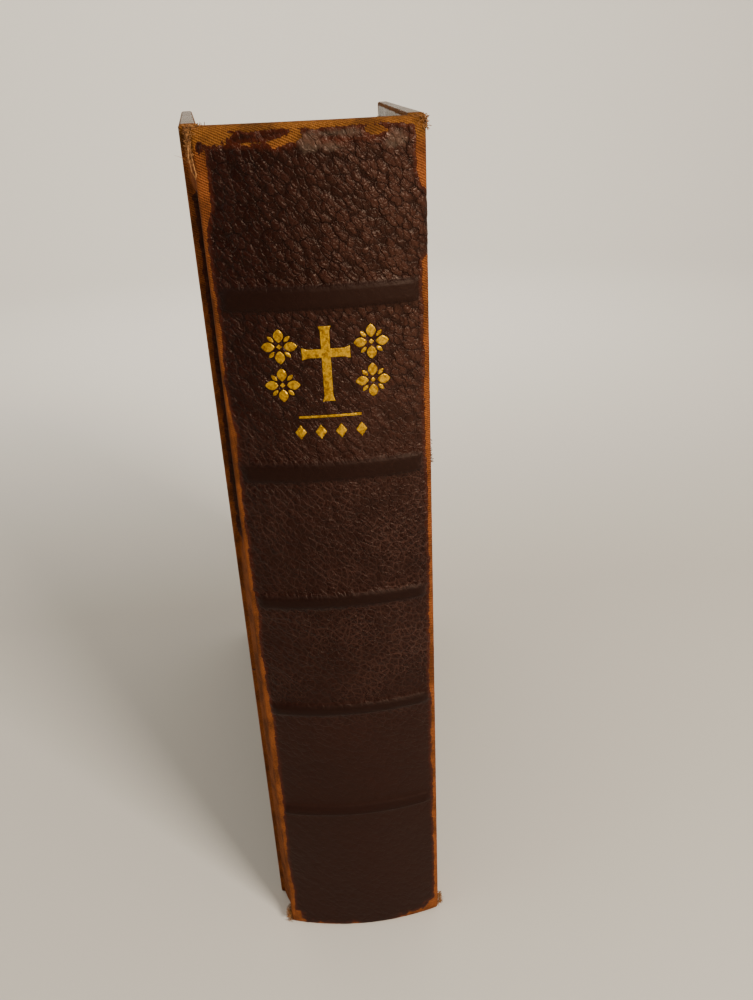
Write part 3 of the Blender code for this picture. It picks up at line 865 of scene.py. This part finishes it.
def board_wrap(shape, width):
    """A slab with rounded edges, cut into small faces, in (out, along, z)."""
    size = (COVER_OUT - COVER_IN, width - JOINT_WIDTH, COVER_HEIGHT)
    made = bmesh.ops.create_cube(shape, size=1.0)
    bmesh.ops.scale(shape, vec=size, verts=made["verts"])
    middle = ((COVER_OUT + COVER_IN) / 2, (JOINT_WIDTH + width) / 2, COVER_HEIGHT / 2)
    bmesh.ops.translate(shape, vec=middle, verts=made["verts"])
    rounding = {"offset": BOARD_ROUND, "segments": 3, "profile": 0.5, "affect": "EDGES"}
    bmesh.ops.bevel(shape, geom=list(shape.edges), **rounding)
    for axis, low, high in ((1, JOINT_WIDTH, width), (2, 0.0, COVER_HEIGHT)):
        steps = round((high - low) / FACE_STEP)
        normal = [1.0 if k == axis else 0.0 for k in range(3)]
        for i in range(1, steps):
            place = [0.0, 0.0, 0.0]
            place[axis] = low + (high - low) * i / steps
            geom = list(shape.verts) + list(shape.edges) + list(shape.faces)
            bmesh.ops.bisect_plane(shape, geom=geom, plane_co=place, plane_no=normal)


def groove_depth(side, z):
    """How deep the joint's groove is at a height: 1 where it is whole, 0 where it is pulled flat."""
    deep = smoothstep(z, 0.108, 0.130) * (1 - smoothstep(z, 0.1885, 0.1935))
    return deep if side < 0 else 0.5 * deep


def joint_points(side, hinge_x, hinge_y, z):
    """The joint's line (out, along): from under the spine's ridge to beyond the board's shoulder."""
    wall_out = side * SPINE_MIDDLE + SPINE_HALF - hinge_x - 0.0002
    wall_along = WALL_END_Y - hinge_y
    deep = groove_depth(side, z)
    foot, crest = JOINT_WIDTH - 0.0007, COVER_OUT + 0.00004
    line = [(wall_out, wall_along - 0.0016), (wall_out, wall_along - 0.0008), (wall_out, wall_along)]
    for i in range(1, 10):
        t = i / 9
        along = wall_along + (foot - wall_along) * t
        flat = wall_out + (crest - 0.0010 - wall_out) * t
        groove = wall_out + (GROOVE_OUT - wall_out) * smoothstep(t, 0.0, 0.4)
        line.append((flat + (groove - flat) * deep, along))
    start = line[-1][0]
    shoulder = [(0.06, 0.00030), (0.35, 0.00050), (0.68, 0.00056)]
    shoulder += [(0.88, 0.00068), (0.97, 0.00100), (1.0, 0.00150)]
    line += [(start + (crest - start) * share, foot + ahead) for share, ahead in shoulder]
    line += [(crest, JOINT_WIDTH + 0.0018), (crest - 0.00012, JOINT_WIDTH + 0.0026)]
    return line


def joint_rub(side, out, along, z):
    """The joint is bare towards the tail and at the head. The deep part between keeps its coating."""
    groove = min(1.0, 2 * groove_depth(side, z))
    crest = out - (COVER_OUT - SHOULDER_BARE)
    slow = noise.noise(Vector((side * 3.1, z * 75, 1.7)))
    quick = noise.noise(Vector((along * 260, z * 210, side * 1.3)))
    past = JOINT_WIDTH + SHOULDER_RUB - along + 0.0008 * slow + 0.0004 * quick
    return min(crest * groove + (0.0016 + 0.0022 * quick) * (1 - groove), past)


def cover_covering_mesh(prefix, side, hinge_x, hinge_y, angle, width):
    """A board's wrapping, turned to its rest angle, and the joint's cloth, which takes up the turn."""
    shape = bmesh.new()
    board_wrap(shape, width)
    shape.verts.index_update()
    slab = [tuple(v.co) for v in shape.verts]
    slab_faces = [tuple(v.index for v in f.verts) for f in shape.faces]
    shape.free()
    points, lay, rub = [], [], []
    for out, along, z in slab:
        points.append(turned((out, along, z), side, hinge_x, hinge_y, angle))
        lay.append((side * (JOINT_LAY + along), z, COVER_OUT - out))
        rub.append(board_rub(out, along, z, width))
    faces = [f if side > 0 else f[::-1] for f in slab_faces]
    steps = round(COVER_HEIGHT / JOINT_STEP)
    start = len(points)
    for j in range(steps + 1):
        z = JOINT_INSET + (COVER_HEIGHT - 2 * JOINT_INSET) * j / steps
        line = joint_points(side, hinge_x, hinge_y, z)
        for out, along in line:
            swing = angle * smoothstep(along, 0.0, JOINT_BEND)
            points.append(turned((out, along, z), side, hinge_x, hinge_y, swing))
            lay.append((side * (JOINT_LAY + along), z, COVER_OUT - out))
            rub.append(joint_rub(side, out, along, z))
    count = len(line)
    for j in range(steps):
        for i in range(count - 1):
            a = start + j * count + i
            quad = (a, a + 1, a + count + 1, a + count)
            faces.append(quad if side > 0 else quad[::-1])
    mesh = bpy.data.meshes.new(f"{prefix}_covering")
    mesh.from_pydata(points, [], faces)
    # Painted reflection: the boards' top edges are painted grey, as the coating's sheen against the bright
    # backdrop.
    scuff = [0.75 * smoothstep(z, COVER_HEIGHT - 0.0012, COVER_HEIGHT - 0.0004) for _, z, _ in lay]
    write_attributes(mesh, lay=lay, rub=rub, smooth=[0.0] * len(lay), scuff=scuff)
    mesh.shade_smooth()
    return mesh


for prefix in ("front", "back"):
    side, hinge_x, hinge_y, angle = hinge_of(prefix)
    low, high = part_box(f"{prefix}_cover_cloth")
    width = (high.y - hinge_y + COVER_IN * math.sin(angle)) / math.cos(angle)
    mesh = cover_covering_mesh(prefix, side, hinge_x, hinge_y, angle, width)
    covering = add_piece(f"{prefix}_covering", mesh, COVER_LEATHER)
    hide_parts(f"{prefix}_cover_cloth")
    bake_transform(covering)

# ---------------------------------------------------------------------------------------------
# Frayed cotton: where the cloth has worn through at the corners of the spine, its threads stand out
# as a fringe. One long loop hangs from the head, and a tuft stands out of the front joint.
THREAD_RADIUS = 0.00007
THREADS_LOW, THREADS_HIGH = 0.0002, COVER_HEIGHT + 0.0012
GOLDEN = ((0.115, 0.040, 0.007, 1.0), (0.30, 0.125, 0.024, 1.0))
BROWN = ((0.030, 0.011, 0.004, 1.0), (0.16, 0.060, 0.015, 1.0))


def cotton_thread_material(name, dark, light):
    material, n, shader = new_material(name)
    place = n.place()
    strand = n.noise(place, 2200.0, 2.0).outputs["Fac"]
    n.feed(shader.inputs["Base Color"], n.mix(n.ramp(strand, 0.3, 0.7), dark, light))
    n.feed(shader.inputs["Roughness"], n.ramp(strand, 0.3, 0.7, 0.95, 0.80))
    n.bump(shader, 0.4, 0.00003, strand)
    return material


def add_thread(shape, points, radius, sides=5):
    """A thin closed tube along the points, tapering at its loose end."""
    rings = []
    for k, point in enumerate(points):
        ahead = (points[min(k + 1, len(points) - 1)] - points[max(k - 1, 0)]).normalized()
        across = ahead.orthogonal().normalized()
        other = ahead.cross(across)
        size = radius * (1.0 if k < len(points) - 1 else 0.4)
        turns = [math.tau * i / sides for i in range(sides)]
        ring = [point + size * (math.cos(t) * across + math.sin(t) * other) for t in turns]
        rings.append([shape.verts.new(place) for place in ring])
    for first, second in zip(rings, rings[1:]):
        for i in range(sides):
            j = (i + 1) % sides
            shape.faces.new((first[i], first[j], second[j], second[i]))
    shape.faces.new(rings[0][::-1])
    shape.faces.new(rings[-1])


def fringe(shape, draw, middle, spread, heading, count, shortest, longest, curl=0.8):
    """Short threads that start round a place and head outwards, each with its own bend."""
    for _ in range(count):
        start = Vector([m + draw.uniform(-s, s) for m, s in zip(middle, spread)])
        ahead = Vector([h + draw.uniform(-0.9, 0.9) for h in heading]).normalized()
        bend = Vector([draw.uniform(-1, 1) for _ in range(3)]) * curl
        length = draw.uniform(shortest, longest)
        points = [start]
        for _ in range(6):
            ahead = (ahead + bend * 0.35).normalized()
            points.append(points[-1] + ahead * length / 6)
            points[-1].z = min(max(points[-1].z, THREADS_LOW), THREADS_HIGH)
        add_thread(shape, points, THREAD_RADIUS * draw.uniform(0.6, 1.1))


def thread_piece(name, shape, material, body):
    """A body's threads, which fray from the covering."""
    bmesh.ops.recalc_face_normals(shape, faces=list(shape.faces))
    piece = add_piece(name, finished_mesh(name, shape), material)
    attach(piece, body)


GOLDEN_COTTON = cotton_thread_material("frayed_cotton_golden", *GOLDEN)
BROWN_COTTON = cotton_thread_material("frayed_cotton_brown", *BROWN)
left_ridge, right_ridge = SPINE_MIDDLE - SPINE_HALF, SPINE_MIDDLE + SPINE_HALF
ridge_y = ARC_Y - math.sqrt(SPINE_RADIUS**2 - SPINE_HALF**2) + 0.0006

draw = random.Random(11)
shape = bmesh.new()
head_left = (left_ridge + 0.0010, ridge_y + 0.0004, COVER_HEIGHT - 0.0009)
fringe(shape, draw, head_left, (0.0017, 0.0010, 0.0008), (-0.3, -0.5, 0.4), 330, 0.0003, 0.0009, 1.2)
left_side = (left_ridge - 0.0002, ridge_y + 0.0006, COVER_HEIGHT - 0.0036)
fringe(shape, draw, left_side, (0.0005, 0.0012, 0.0024), (-0.6, -0.4, -0.2), 260, 0.0004, 0.0010, 1.4)
head_right = (right_ridge - 0.0012, ridge_y, COVER_HEIGHT - 0.0013)
fringe(shape, draw, head_right, (0.0014, 0.0008, 0.0011), (0.4, -0.5, 0.3), 330, 0.0003, 0.0008, 1.2)
loop_places = (
    (-0.0002, 0.0, -0.0030),
    (-0.0004, -0.0004, -0.0050),
    (-0.0001, -0.0006, -0.0072),
    (0.0004, -0.0006, -0.0086),
    (0.0006, -0.0006, -0.0078),
    (0.0003, -0.0006, -0.0060),
    (0.0001, -0.0004, -0.0040),
)
hung_from = Vector((left_ridge - 0.0001, ridge_y - 0.0010, COVER_HEIGHT))
add_thread(shape, [hung_from + Vector(place) for place in loop_places], THREAD_RADIUS * 1.8)
hair_places = (
    (0.0, 0.0, -0.0058),
    (-0.0009, -0.0002, -0.0056),
    (-0.0018, -0.0003, -0.0050),
    (-0.0030, -0.0003, -0.0046),
)
rooted_at = Vector((left_ridge, ridge_y, COVER_HEIGHT))
add_thread(shape, [rooted_at + Vector(place) for place in hair_places], THREAD_RADIUS * 0.5)
thread_piece("frayed_threads_head", shape, GOLDEN_COTTON, "text_block")

shape = bmesh.new()
tail_right = (right_ridge, ridge_y + 0.0004, 0.0034)
fringe(shape, draw, tail_right, (0.0006, 0.0008, 0.0018), (0.8, -0.4, -0.3), 160, 0.0004, 0.0012, 1.4)
tail_left = (left_ridge - 0.0002, ridge_y + 0.0012, 0.0020)
fringe(shape, draw, tail_left, (0.0008, 0.0014, 0.0018), (-0.7, -0.4, -0.2), 220, 0.0004, 0.0012, 1.4)
thread_piece("frayed_threads_tail", shape, GOLDEN_COTTON, "text_block")

shape = bmesh.new()
side, hinge_x, hinge_y, angle = hinge_of("front")
tuft_place = turned((COVER_OUT - 0.0003, JOINT_WIDTH + 0.0004, 0.1350), side, hinge_x, hinge_y, angle)
fringe(shape, draw, tuft_place, (0.0003, 0.0006, 0.0030), (0.8 * side, -0.5, 0.0), 60, 0.0005, 0.0012, 1.5)
thread_piece("frayed_tuft_front_joint", shape, BROWN_COTTON, "front_cover")

# ---------------------------------------------------------------------------------------------
# Gold leaf, stamped into the second panel with a heated tool: a Latin cross between four florets,
# a short rule and a row of four lozenges. The grain shows through the leaf.
GILT_MIDDLE = SPINE_MIDDLE + 0.0002
GILT_LIFT = 0.0006
GILT_PROUD = 0.00004
GILT_CUT = 0.0004
GOLD_LEAF = ((0.17, 0.075, 0.003, 1.0), (0.60, 0.33, 0.012, 1.0))
GOLD_METALLIC, GOLD_SPECULAR = 0.88, 0.15


def gilt_material():
    material, n, shader = new_material("gold_leaf")
    place = n.place()
    worn = n.noise(place, 1300.0, 4.0, 0.65).outputs["Fac"]
    n.feed(shader.inputs["Base Color"], n.mix(n.ramp(worn, 0.30, 0.66), *GOLD_LEAF))
    n.feed(shader.inputs["Roughness"], n.ramp(worn, 0.3, 0.7, 0.55, 0.36))
    shader.inputs["Metallic"].default_value = GOLD_METALLIC
    shader.inputs["Specular IOR Level"].default_value = GOLD_SPECULAR
    grain = n.use(PEBBLE_GRAIN, Vector=n.vector("MULTIPLY", place, (1.0, 0.0, 1.0)), Cell=SPINE_CELL)
    n.bump(shader, 0.5, 0.00010, grain["Relief"])
    return material


def latin_cross(half_width, top, bottom, arm_z, stroke, flare):
    """The outline of a cross whose ends widen a little, anticlockwise from the foot."""
    s, f = stroke / 2, stroke / 2 + flare
    right = [(f, bottom), (s, bottom + 3 * flare), (s, arm_z - s), (half_width - 3 * flare, arm_z - s)]
    right += [(half_width, arm_z - f), (half_width, arm_z + f), (half_width - 3 * flare, arm_z + s)]
    right += [(s, arm_z + s), (s, top - 3 * flare), (f, top)]
    return right + [(-x, z) for x, z in reversed(right)]


def lozenge(x, z, half_width, half_height):
    return [(x, z - half_height), (x + half_width, z), (x, z + half_height), (x - half_width, z)]


def petal(x, z, near, far, half_width, turn, steps=8):
    """A pointed leaf that runs out from (x, z) at an angle, from near to far."""
    edge = []
    for k in range(2 * steps):
        share = k / steps if k < steps else 2 - k / steps
        up = half_width * math.sin(math.pi * share) ** 0.8 * (-1 if k < steps else 1)
        across = near + (far - near) * share
        turned_x = x + across * math.cos(turn) - up * math.sin(turn)
        turned_z = z + across * math.sin(turn) + up * math.cos(turn)
        edge.append((turned_x, turned_z))
    return edge


def floret(x, z, radius):
    """A flower of four broad leaves and four narrow ones round a lozenge."""
    quarter = math.pi / 2
    broad = [(0.24 * radius, radius, 0.27 * radius, quarter * k) for k in range(4)]
    narrow = [(0.40 * radius, 0.86 * radius, 0.11 * radius, quarter * (k + 0.5)) for k in range(4)]
    return [petal(x, z, *leaf) for leaf in broad + narrow] + [lozenge(x, z, 0.15 * radius, 0.15 * radius)]


def stamped_mesh(name, outlines):
    """Flat outlines in (across, height), cut into small squares and laid on the spine's round face."""
    shape = bmesh.new()
    for outline in outlines:
        shape.faces.new([shape.verts.new((x, 0.0, z)) for x, z in outline])
    shape.normal_update()
    bmesh.ops.triangulate(shape, faces=list(shape.faces))
    for axis in (0, 2):
        places = [v.co[axis] for v in shape.verts]
        for i in range(math.ceil(min(places) / GILT_CUT), math.ceil(max(places) / GILT_CUT)):
            geom = list(shape.verts) + list(shape.edges) + list(shape.faces)
            place = [i * GILT_CUT if k == axis else 0 for k in range(3)]
            normal = [1 if k == axis else 0 for k in range(3)]
            bmesh.ops.bisect_plane(shape, geom=geom, plane_co=place, plane_no=normal)
    for vert in shape.verts:
        vert.co = face_point(GILT_MIDDLE + vert.co.x, vert.co.z, GILT_LIFT)
    bmesh.ops.recalc_face_normals(shape, faces=list(shape.faces))
    for face in shape.faces:
        if face.normal.y > 0:
            face.normal_flip()
    return finished_mesh(name, shape)


GOLD = gilt_material()
TITLE_LOW, TITLE_HIGH = 0.1530, 0.1678
title_middle = (TITLE_LOW + TITLE_HIGH) / 2
florets = []
for x in (-0.0087, 0.0087):
    for z in (TITLE_LOW + 0.0036, TITLE_HIGH - 0.0036):
        florets += floret(x, z, 0.0034)
stamps = {
    "gilt_cross": [latin_cross(0.0046, TITLE_HIGH, TITLE_LOW, title_middle + 0.0022, 0.0017, 0.00035)],
    "gilt_florets": florets,
    "gilt_rule": [[(-0.0061, 0.14965), (0.0061, 0.14965), (0.0061, 0.15015), (-0.0061, 0.15015)]],
    "gilt_lozenges": [lozenge(x, 0.1467, 0.0011, 0.0015) for x in (-0.0060, -0.0020, 0.0020, 0.0060)],
}
for name, outlines in stamps.items():
    stamp = add_piece(name, stamped_mesh(name, outlines), GOLD)
    pressed = stamp.modifiers.new("pressed_on", "SHRINKWRAP")
    pressed.target = spine_covering
    pressed.wrap_method = "PROJECT"
    pressed.use_project_x = False
    pressed.use_project_y = True
    pressed.use_project_z = False
    pressed.use_positive_direction = True
    pressed.use_negative_direction = True
    pressed.offset = GILT_PROUD
    apply_modifiers(stamp)
    thicken(stamp, GILT_PROUD * 0.9, -1.0)
    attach(stamp, "text_block")

# ---------------------------------------------------------------------------------------------
# The sections: folded gatherings of thin paper, sewn together and cut flush at head, tail and
# fore-edge. Age has browned the cut edges, and the leaves don't lie quite even.
SHEETS = 18
SHEET_SHARE = 0.84
SHORTEST_SHEET = (1.0, 0.9972, 0.9980)
SECTION_NAMES = sorted(n for n in frame["nodes"] if n.startswith("section_"))


def paper_material(name, light, brown, toned, scale=1.0):
    """Paper that is browned towards its cut edges. toned is the box (low, high) of the block."""
    material, n, shader = new_material(name)
    place = n.place()
    point = n.add("ShaderNodeSeparateXYZ", {"Vector": place}).outputs
    low, high = toned
    from_end = n.math("MINIMUM", n.minus(point["Z"], low[2]), n.minus(high[2], point["Z"]))
    from_edge = n.math("MINIMUM", from_end, n.minus(high[1], point["Y"]))
    mottle = n.noise(place, 70.0 * scale, 4.0, 0.6).outputs["Fac"]
    fibre = n.noise(n.vector("MULTIPLY", place, (1.0, 1.0, 0.4)), 2600.0, 3.0).outputs["Fac"]
    ragged = n.plus(from_edge, n.times(n.minus(mottle, 0.5), 0.012))
    age = n.ramp(ragged, 0.0, 0.016, 1.0, 0.0)
    foxed = n.ramp(n.noise(place, 210.0 * scale, 2.0).outputs["Fac"], 0.66, 0.74, 0.0, 0.35)
    tint = n.mix(n.plus(n.times(age, 0.75), n.times(mottle, 0.18)), light, brown)
    tint = n.mix(foxed, tint, (0.36, 0.20, 0.08, 1.0))
    tint = n.mix(n.times(fibre, 0.10), tint, (0.95, 0.90, 0.80, 1.0))
    n.feed(shader.inputs["Base Color"], tint)
    n.feed(shader.inputs["Roughness"], n.ramp(fibre, 0.3, 0.7, 0.80, 0.68))
    n.bump(shader, 0.4, 0.00003, fibre)
    return material


block_low, block_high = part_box(SECTION_NAMES[5])
TONED = (tuple(block_low), tuple(block_high))
TEXT_PAPER = paper_material("text_paper_aged", (0.72, 0.62, 0.43, 1.0), (0.40, 0.27, 0.13, 1.0), TONED)


def gathering_tree():
    """A row of thin sheets side by side, each a little narrower or shorter than the next."""
    numbers = ("Start", "Thickness", "Back", "Depth", "Tail", "Height")
    tree, n, given = geometry_tree("gathering", Float=numbers, Int=("Sheets", "Seed"), Material=("Paper",))
    pitch = n.math("DIVIDE", given["Thickness"], given["Sheets"])
    half_in = n.plus(given["Start"], n.math("DIVIDE", pitch, 2.0))
    first = n.add("ShaderNodeCombineXYZ", {"X": half_in, "Y": given["Back"], "Z": given["Tail"]})
    stride = n.add("ShaderNodeCombineXYZ", {"X": pitch})
    inputs = {"Count": given["Sheets"], "Start Location": first.outputs[0], "Offset": stride.outputs[0]}
    row = n.add("GeometryNodeMeshLine", inputs)
    sheet_size = {"X": n.times(pitch, SHEET_SHARE), "Y": given["Depth"], "Z": given["Height"]}
    size = n.add("ShaderNodeCombineXYZ", sheet_size)
    inputs = {"Size": size.outputs[0], "Vertices X": 2, "Vertices Y": 4, "Vertices Z": 2}
    sheet = n.add("GeometryNodeMeshCube", inputs)
    half = n.add("ShaderNodeVectorMath", {0: size.outputs[0], 1: (0.0, 0.5, 0.5)}, operation="MULTIPLY")
    inputs = {"Geometry": sheet.outputs["Mesh"], "Translation": half.outputs[0]}
    seated = n.add("GeometryNodeTransform", inputs)
    uneven = n.add("FunctionNodeRandomValue", {"Seed": given["Seed"]}, data_type="FLOAT_VECTOR")
    n.feed(uneven.inputs["Min"], SHORTEST_SHEET)
    n.feed(uneven.inputs["Max"], (1.0, 1.0, 1.0))
    inputs = {"Points": row.outputs["Mesh"], "Instance": seated.outputs["Geometry"]}
    placed = n.add("GeometryNodeInstanceOnPoints", {**inputs, "Scale": uneven.outputs["Value"]})
    real = n.add("GeometryNodeRealizeInstances", {"Geometry": placed.outputs["Instances"]})
    inputs = {"Geometry": real.outputs["Geometry"], "Material": given["Paper"]}
    painted = n.add("GeometryNodeSetMaterial", inputs)
    n.add("NodeGroupOutput", {"Geometry": painted.outputs["Geometry"]})
    return tree


def grown_piece(name, tree, values):
    """A new piece with the plain mesh that a geometry node tree makes from these values."""
    piece = add_piece(name, bpy.data.meshes.new(name), None)
    return run_tree(piece, tree, values)


GATHERING = gathering_tree()
for number, node in enumerate(SECTION_NAMES):
    low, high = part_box(node)
    values = {
        "Start": low.x,
        "Thickness": high.x - low.x,
        "Back": low.y,
        "Depth": high.y - low.y,
        "Tail": low.z,
        "Height": high.z - low.z,
        "Sheets": SHEETS,
        "Seed": number,
        "Paper": TEXT_PAPER,
    }
    gathering = grown_piece(f"gathering_{number + 1:02d}", GATHERING, values)
    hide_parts(node)
    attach(gathering, "text_block")

# ---------------------------------------------------------------------------------------------
# The outer leaves: flyleaves of stouter toned paper, printed leaves and map leaves. Each is held in
# the spine's glue, so it bends near its root and follows the cover as the cover opens.
LEAF_SHEET = 0.00012
LEAF_BEND = 0.010
LEAF_ROOT = 0.0004
LEAF_WAVE = 0.00010
ENDPAPER = paper_material("endpaper_toned", (0.56, 0.45, 0.29, 1.0), (0.30, 0.19, 0.09, 1.0), TONED)
MAP_PAPER = paper_material("map_paper_toned", (0.66, 0.60, 0.47, 1.0), (0.38, 0.27, 0.15, 1.0), TONED)
LEAF_FINISHES = {"flyleaf": ("endpaper", ENDPAPER), "map_leaf": ("map_paper", MAP_PAPER)}


def leaf_mesh(name, side, pivot_x, pivot_y, angle, reach, tail, head):
    """A sheet from its root in the spine outwards, bent by its rest angle close to the root."""
    rows, along_steps, up_steps = [], 40, 24
    for j in range(up_steps + 1):
        z = tail + (head - tail) * j / up_steps
        row = []
        for i in range(along_steps + 1):
            along = LEAF_ROOT + (reach - LEAF_ROOT) * (i / along_steps) ** 1.3
            wave = LEAF_WAVE * math.sin(180 * z + 35 * along) * smoothstep(along, 0.03, 0.12)
            swing = angle * smoothstep(along, 0.001, LEAF_BEND)
            row.append(turned((wave, along, z), side, pivot_x, pivot_y, swing))
        rows.append(row if side > 0 else row[::-1])
    return grid_mesh(name, rows)


for body, nodes in frame["record"]["behaviour"]["bodies"].items():
    if "_leaf_" not in body:
        continue
    node = nodes[0]
    joint = next(j for j in frame["joints"] if j["child"] == body)
    ratio = next(c["ratio"] for c in frame["record"]["behaviour"]["couplings"] if c["joint"] == joint["name"])
    side, _, _, cover_angle = hinge_of(body.split("_")[0])
    angle = ratio * cover_angle
    pivot_x, pivot_y = abs(joint["pos_m"][0]), joint["pos_m"][1]
    low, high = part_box(node)
    reach = (high.y - pivot_y) / math.cos(angle) - 0.0003
    slot_name, paper = next((v for k, v in LEAF_FINISHES.items() if k in node), ("text_paper", TEXT_PAPER))
    mesh = leaf_mesh(node, side, pivot_x, pivot_y, angle, reach, low.z, high.z)
    leaf = add_piece(f"{node}_sheet", mesh, paper)
    thicken(leaf, LEAF_SHEET, 0.0)
    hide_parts(node)
    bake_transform(leaf)

# ---------------------------------------------------------------------------------------------
# The endbands: a cord wound with red and straw silk, glued at the head and tail of the backs.
WINDINGS = 52
SILK_WIDTH = 0.00058


def silk_material(name, colour, dark):
    material, n, shader = new_material(name)
    place = n.place()
    strand = n.noise(n.vector("MULTIPLY", place, (4.0, 1.0, 1.0)), 2500.0, 2.0).outputs["Fac"]
    n.feed(shader.inputs["Base Color"], n.mix(strand, dark, colour))
    n.feed(shader.inputs["Roughness"], n.ramp(strand, 0.3, 0.7, 0.62, 0.45))
    n.bump(shader, 0.5, 0.00004, strand)
    shader.inputs["Sheen Weight"].default_value = 0.3
    return material


def winding_tree():
    """Rings of silk round a cord that follows an arc: two red ones, then two straw ones, and so on."""
    labels = {"Vector": ("Left", "Middle", "Right"), "Float": ("Cord Radius", "Silk Width")}
    labels.update({"Int": ("Windings",), "Material": ("Red Silk", "Straw Silk")})
    tree, n, given = geometry_tree("endband_windings", **labels)
    ends = {"Start": given["Left"], "Middle": given["Middle"], "End": given["Right"]}
    line = n.add("GeometryNodeCurveQuadraticBezier", {"Resolution": 40, **ends})
    inputs = {"Curve": line.outputs["Curve"], "Count": given["Windings"]}
    spread = n.add("GeometryNodeResampleCurve", inputs)
    along = n.add("GeometryNodeInputTangent").outputs[0]
    facing = n.add("FunctionNodeAlignEulerToVector", {"Vector": along}, axis="Z")
    ring = n.add("GeometryNodeCurvePrimitiveCircle", {"Resolution": 12, "Radius": given["Cord Radius"]})
    silk_radius = n.math("DIVIDE", given["Silk Width"], 2.0)
    strand = n.add("GeometryNodeCurvePrimitiveCircle", {"Resolution": 6, "Radius": silk_radius})
    inputs = {"Curve": ring.outputs["Curve"], "Profile Curve": strand.outputs["Curve"]}
    loop = n.add("GeometryNodeCurveToMesh", inputs)
    inputs = {"Points": spread.outputs["Curve"], "Instance": loop.outputs["Mesh"]}
    wound = n.add("GeometryNodeInstanceOnPoints", {**inputs, "Rotation": facing.outputs[0]})
    index = n.add("GeometryNodeInputIndex").outputs[0]
    odd = n.math("GREATER_THAN", n.math("MODULO", index, 4.0), 1.5)
    inputs = {"Geometry": wound.outputs["Instances"], "Name": "straw", "Value": odd}
    marked = n.add("GeometryNodeStoreNamedAttribute", inputs, data_type="FLOAT", domain="INSTANCE")
    inputs = {"Resolution": 10, "Radius": given["Cord Radius"]}
    core_profile = n.add("GeometryNodeCurvePrimitiveCircle", inputs)
    inputs = {"Curve": line.outputs["Curve"], "Profile Curve": core_profile.outputs["Curve"]}
    core = n.add("GeometryNodeCurveToMesh", {**inputs, "Fill Caps": True})
    both = n.add("GeometryNodeJoinGeometry")
    for part in (marked.outputs["Geometry"], core.outputs["Mesh"]):
        tree.links.new(part, both.inputs["Geometry"])
    real = n.add("GeometryNodeRealizeInstances", {"Geometry": both.outputs["Geometry"]})
    inputs = {"Geometry": real.outputs["Geometry"], "Material": given["Red Silk"]}
    red = n.add("GeometryNodeSetMaterial", inputs)
    is_straw = n.math("GREATER_THAN", n.stored("straw"), 0.5)
    inputs = {"Geometry": red.outputs["Geometry"], "Selection": is_straw}
    painted = n.add("GeometryNodeSetMaterial", {**inputs, "Material": given["Straw Silk"]})
    n.add("NodeGroupOutput", {"Geometry": painted.outputs["Geometry"]})
    return tree


WINDING = winding_tree()
RED_SILK = silk_material("endband_red", (0.30, 0.030, 0.022, 1.0), (0.14, 0.012, 0.010, 1.0))
STRAW_SILK = silk_material("endband_straw", (0.58, 0.44, 0.22, 1.0), (0.36, 0.25, 0.11, 1.0))
for end in ("head", "tail"):
    low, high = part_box(f"{end}_endband")
    radius = (high.z - low.z) / 2
    z = (low.z + high.z) / 2
    back_y, front_y = high.y - radius, low.y + radius
    values = {
        "Left": (low.x + SILK_WIDTH, back_y, z),
        "Middle": ((low.x + high.x) / 2, 2 * front_y - back_y, z),
        "Right": (high.x - SILK_WIDTH, back_y, z),
        "Cord Radius": radius - SILK_WIDTH / 2,
        "Silk Width": SILK_WIDTH,
        "Windings": WINDINGS,
        "Red Silk": RED_SILK,
        "Straw Silk": STRAW_SILK,
    }
    endband = grown_piece(f"{end}_endband_silk", WINDING, values)
    endband.data.shade_smooth()
    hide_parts(f"{end}_endband")
    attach(endband, "text_block")

# ---------------------------------------------------------------------------------------------
# What is hidden in the finished book keeps its own stuff: pulp board, manila card, open mull, linen
# tape and waxed thread. The pastedowns show when a cover is opened.
MULL_PITCH, TAPE_PITCH = 0.0009, 0.0005
BOARD_GREYS = ((0.36, 0.31, 0.25, 1), (0.22, 0.18, 0.14, 1))
MULL_COLOURS = ((0.70, 0.62, 0.46, 1), (0.30, 0.24, 0.15, 1))
TAPE_COLOURS = ((0.66, 0.58, 0.42, 1), (0.36, 0.29, 0.18, 1))
THREAD_COLOURS = ((0.76, 0.70, 0.55, 1), (0.45, 0.38, 0.25, 1))

HIDDEN_FINISHES = {
    "greyboard": fibre_material("greyboard_pulp", *BOARD_GREYS, 900.0, 0.92),
    "manila": MANILA,
    "mull_cloth": fibre_material("mull_open_cloth", *MULL_COLOURS, 1500.0, 0.95, MULL_PITCH),
    "linen_tape": fibre_material("linen_tape_weave", *TAPE_COLOURS, 1500.0, 0.90, TAPE_PITCH),
    "linen_thread": fibre_material("waxed_thread", *THREAD_COLOURS, 3000.0, 0.70),
    "endpaper": ENDPAPER,
}
for part in frame["record"]["subparts"]:
    finish = HIDDEN_FINISHES.get(part["material_slot"])
    node = frame["nodes"][part["node"]]
    if finish and not node.hide_render:
        node.data.materials.clear()
        node.data.materials.append(finish)
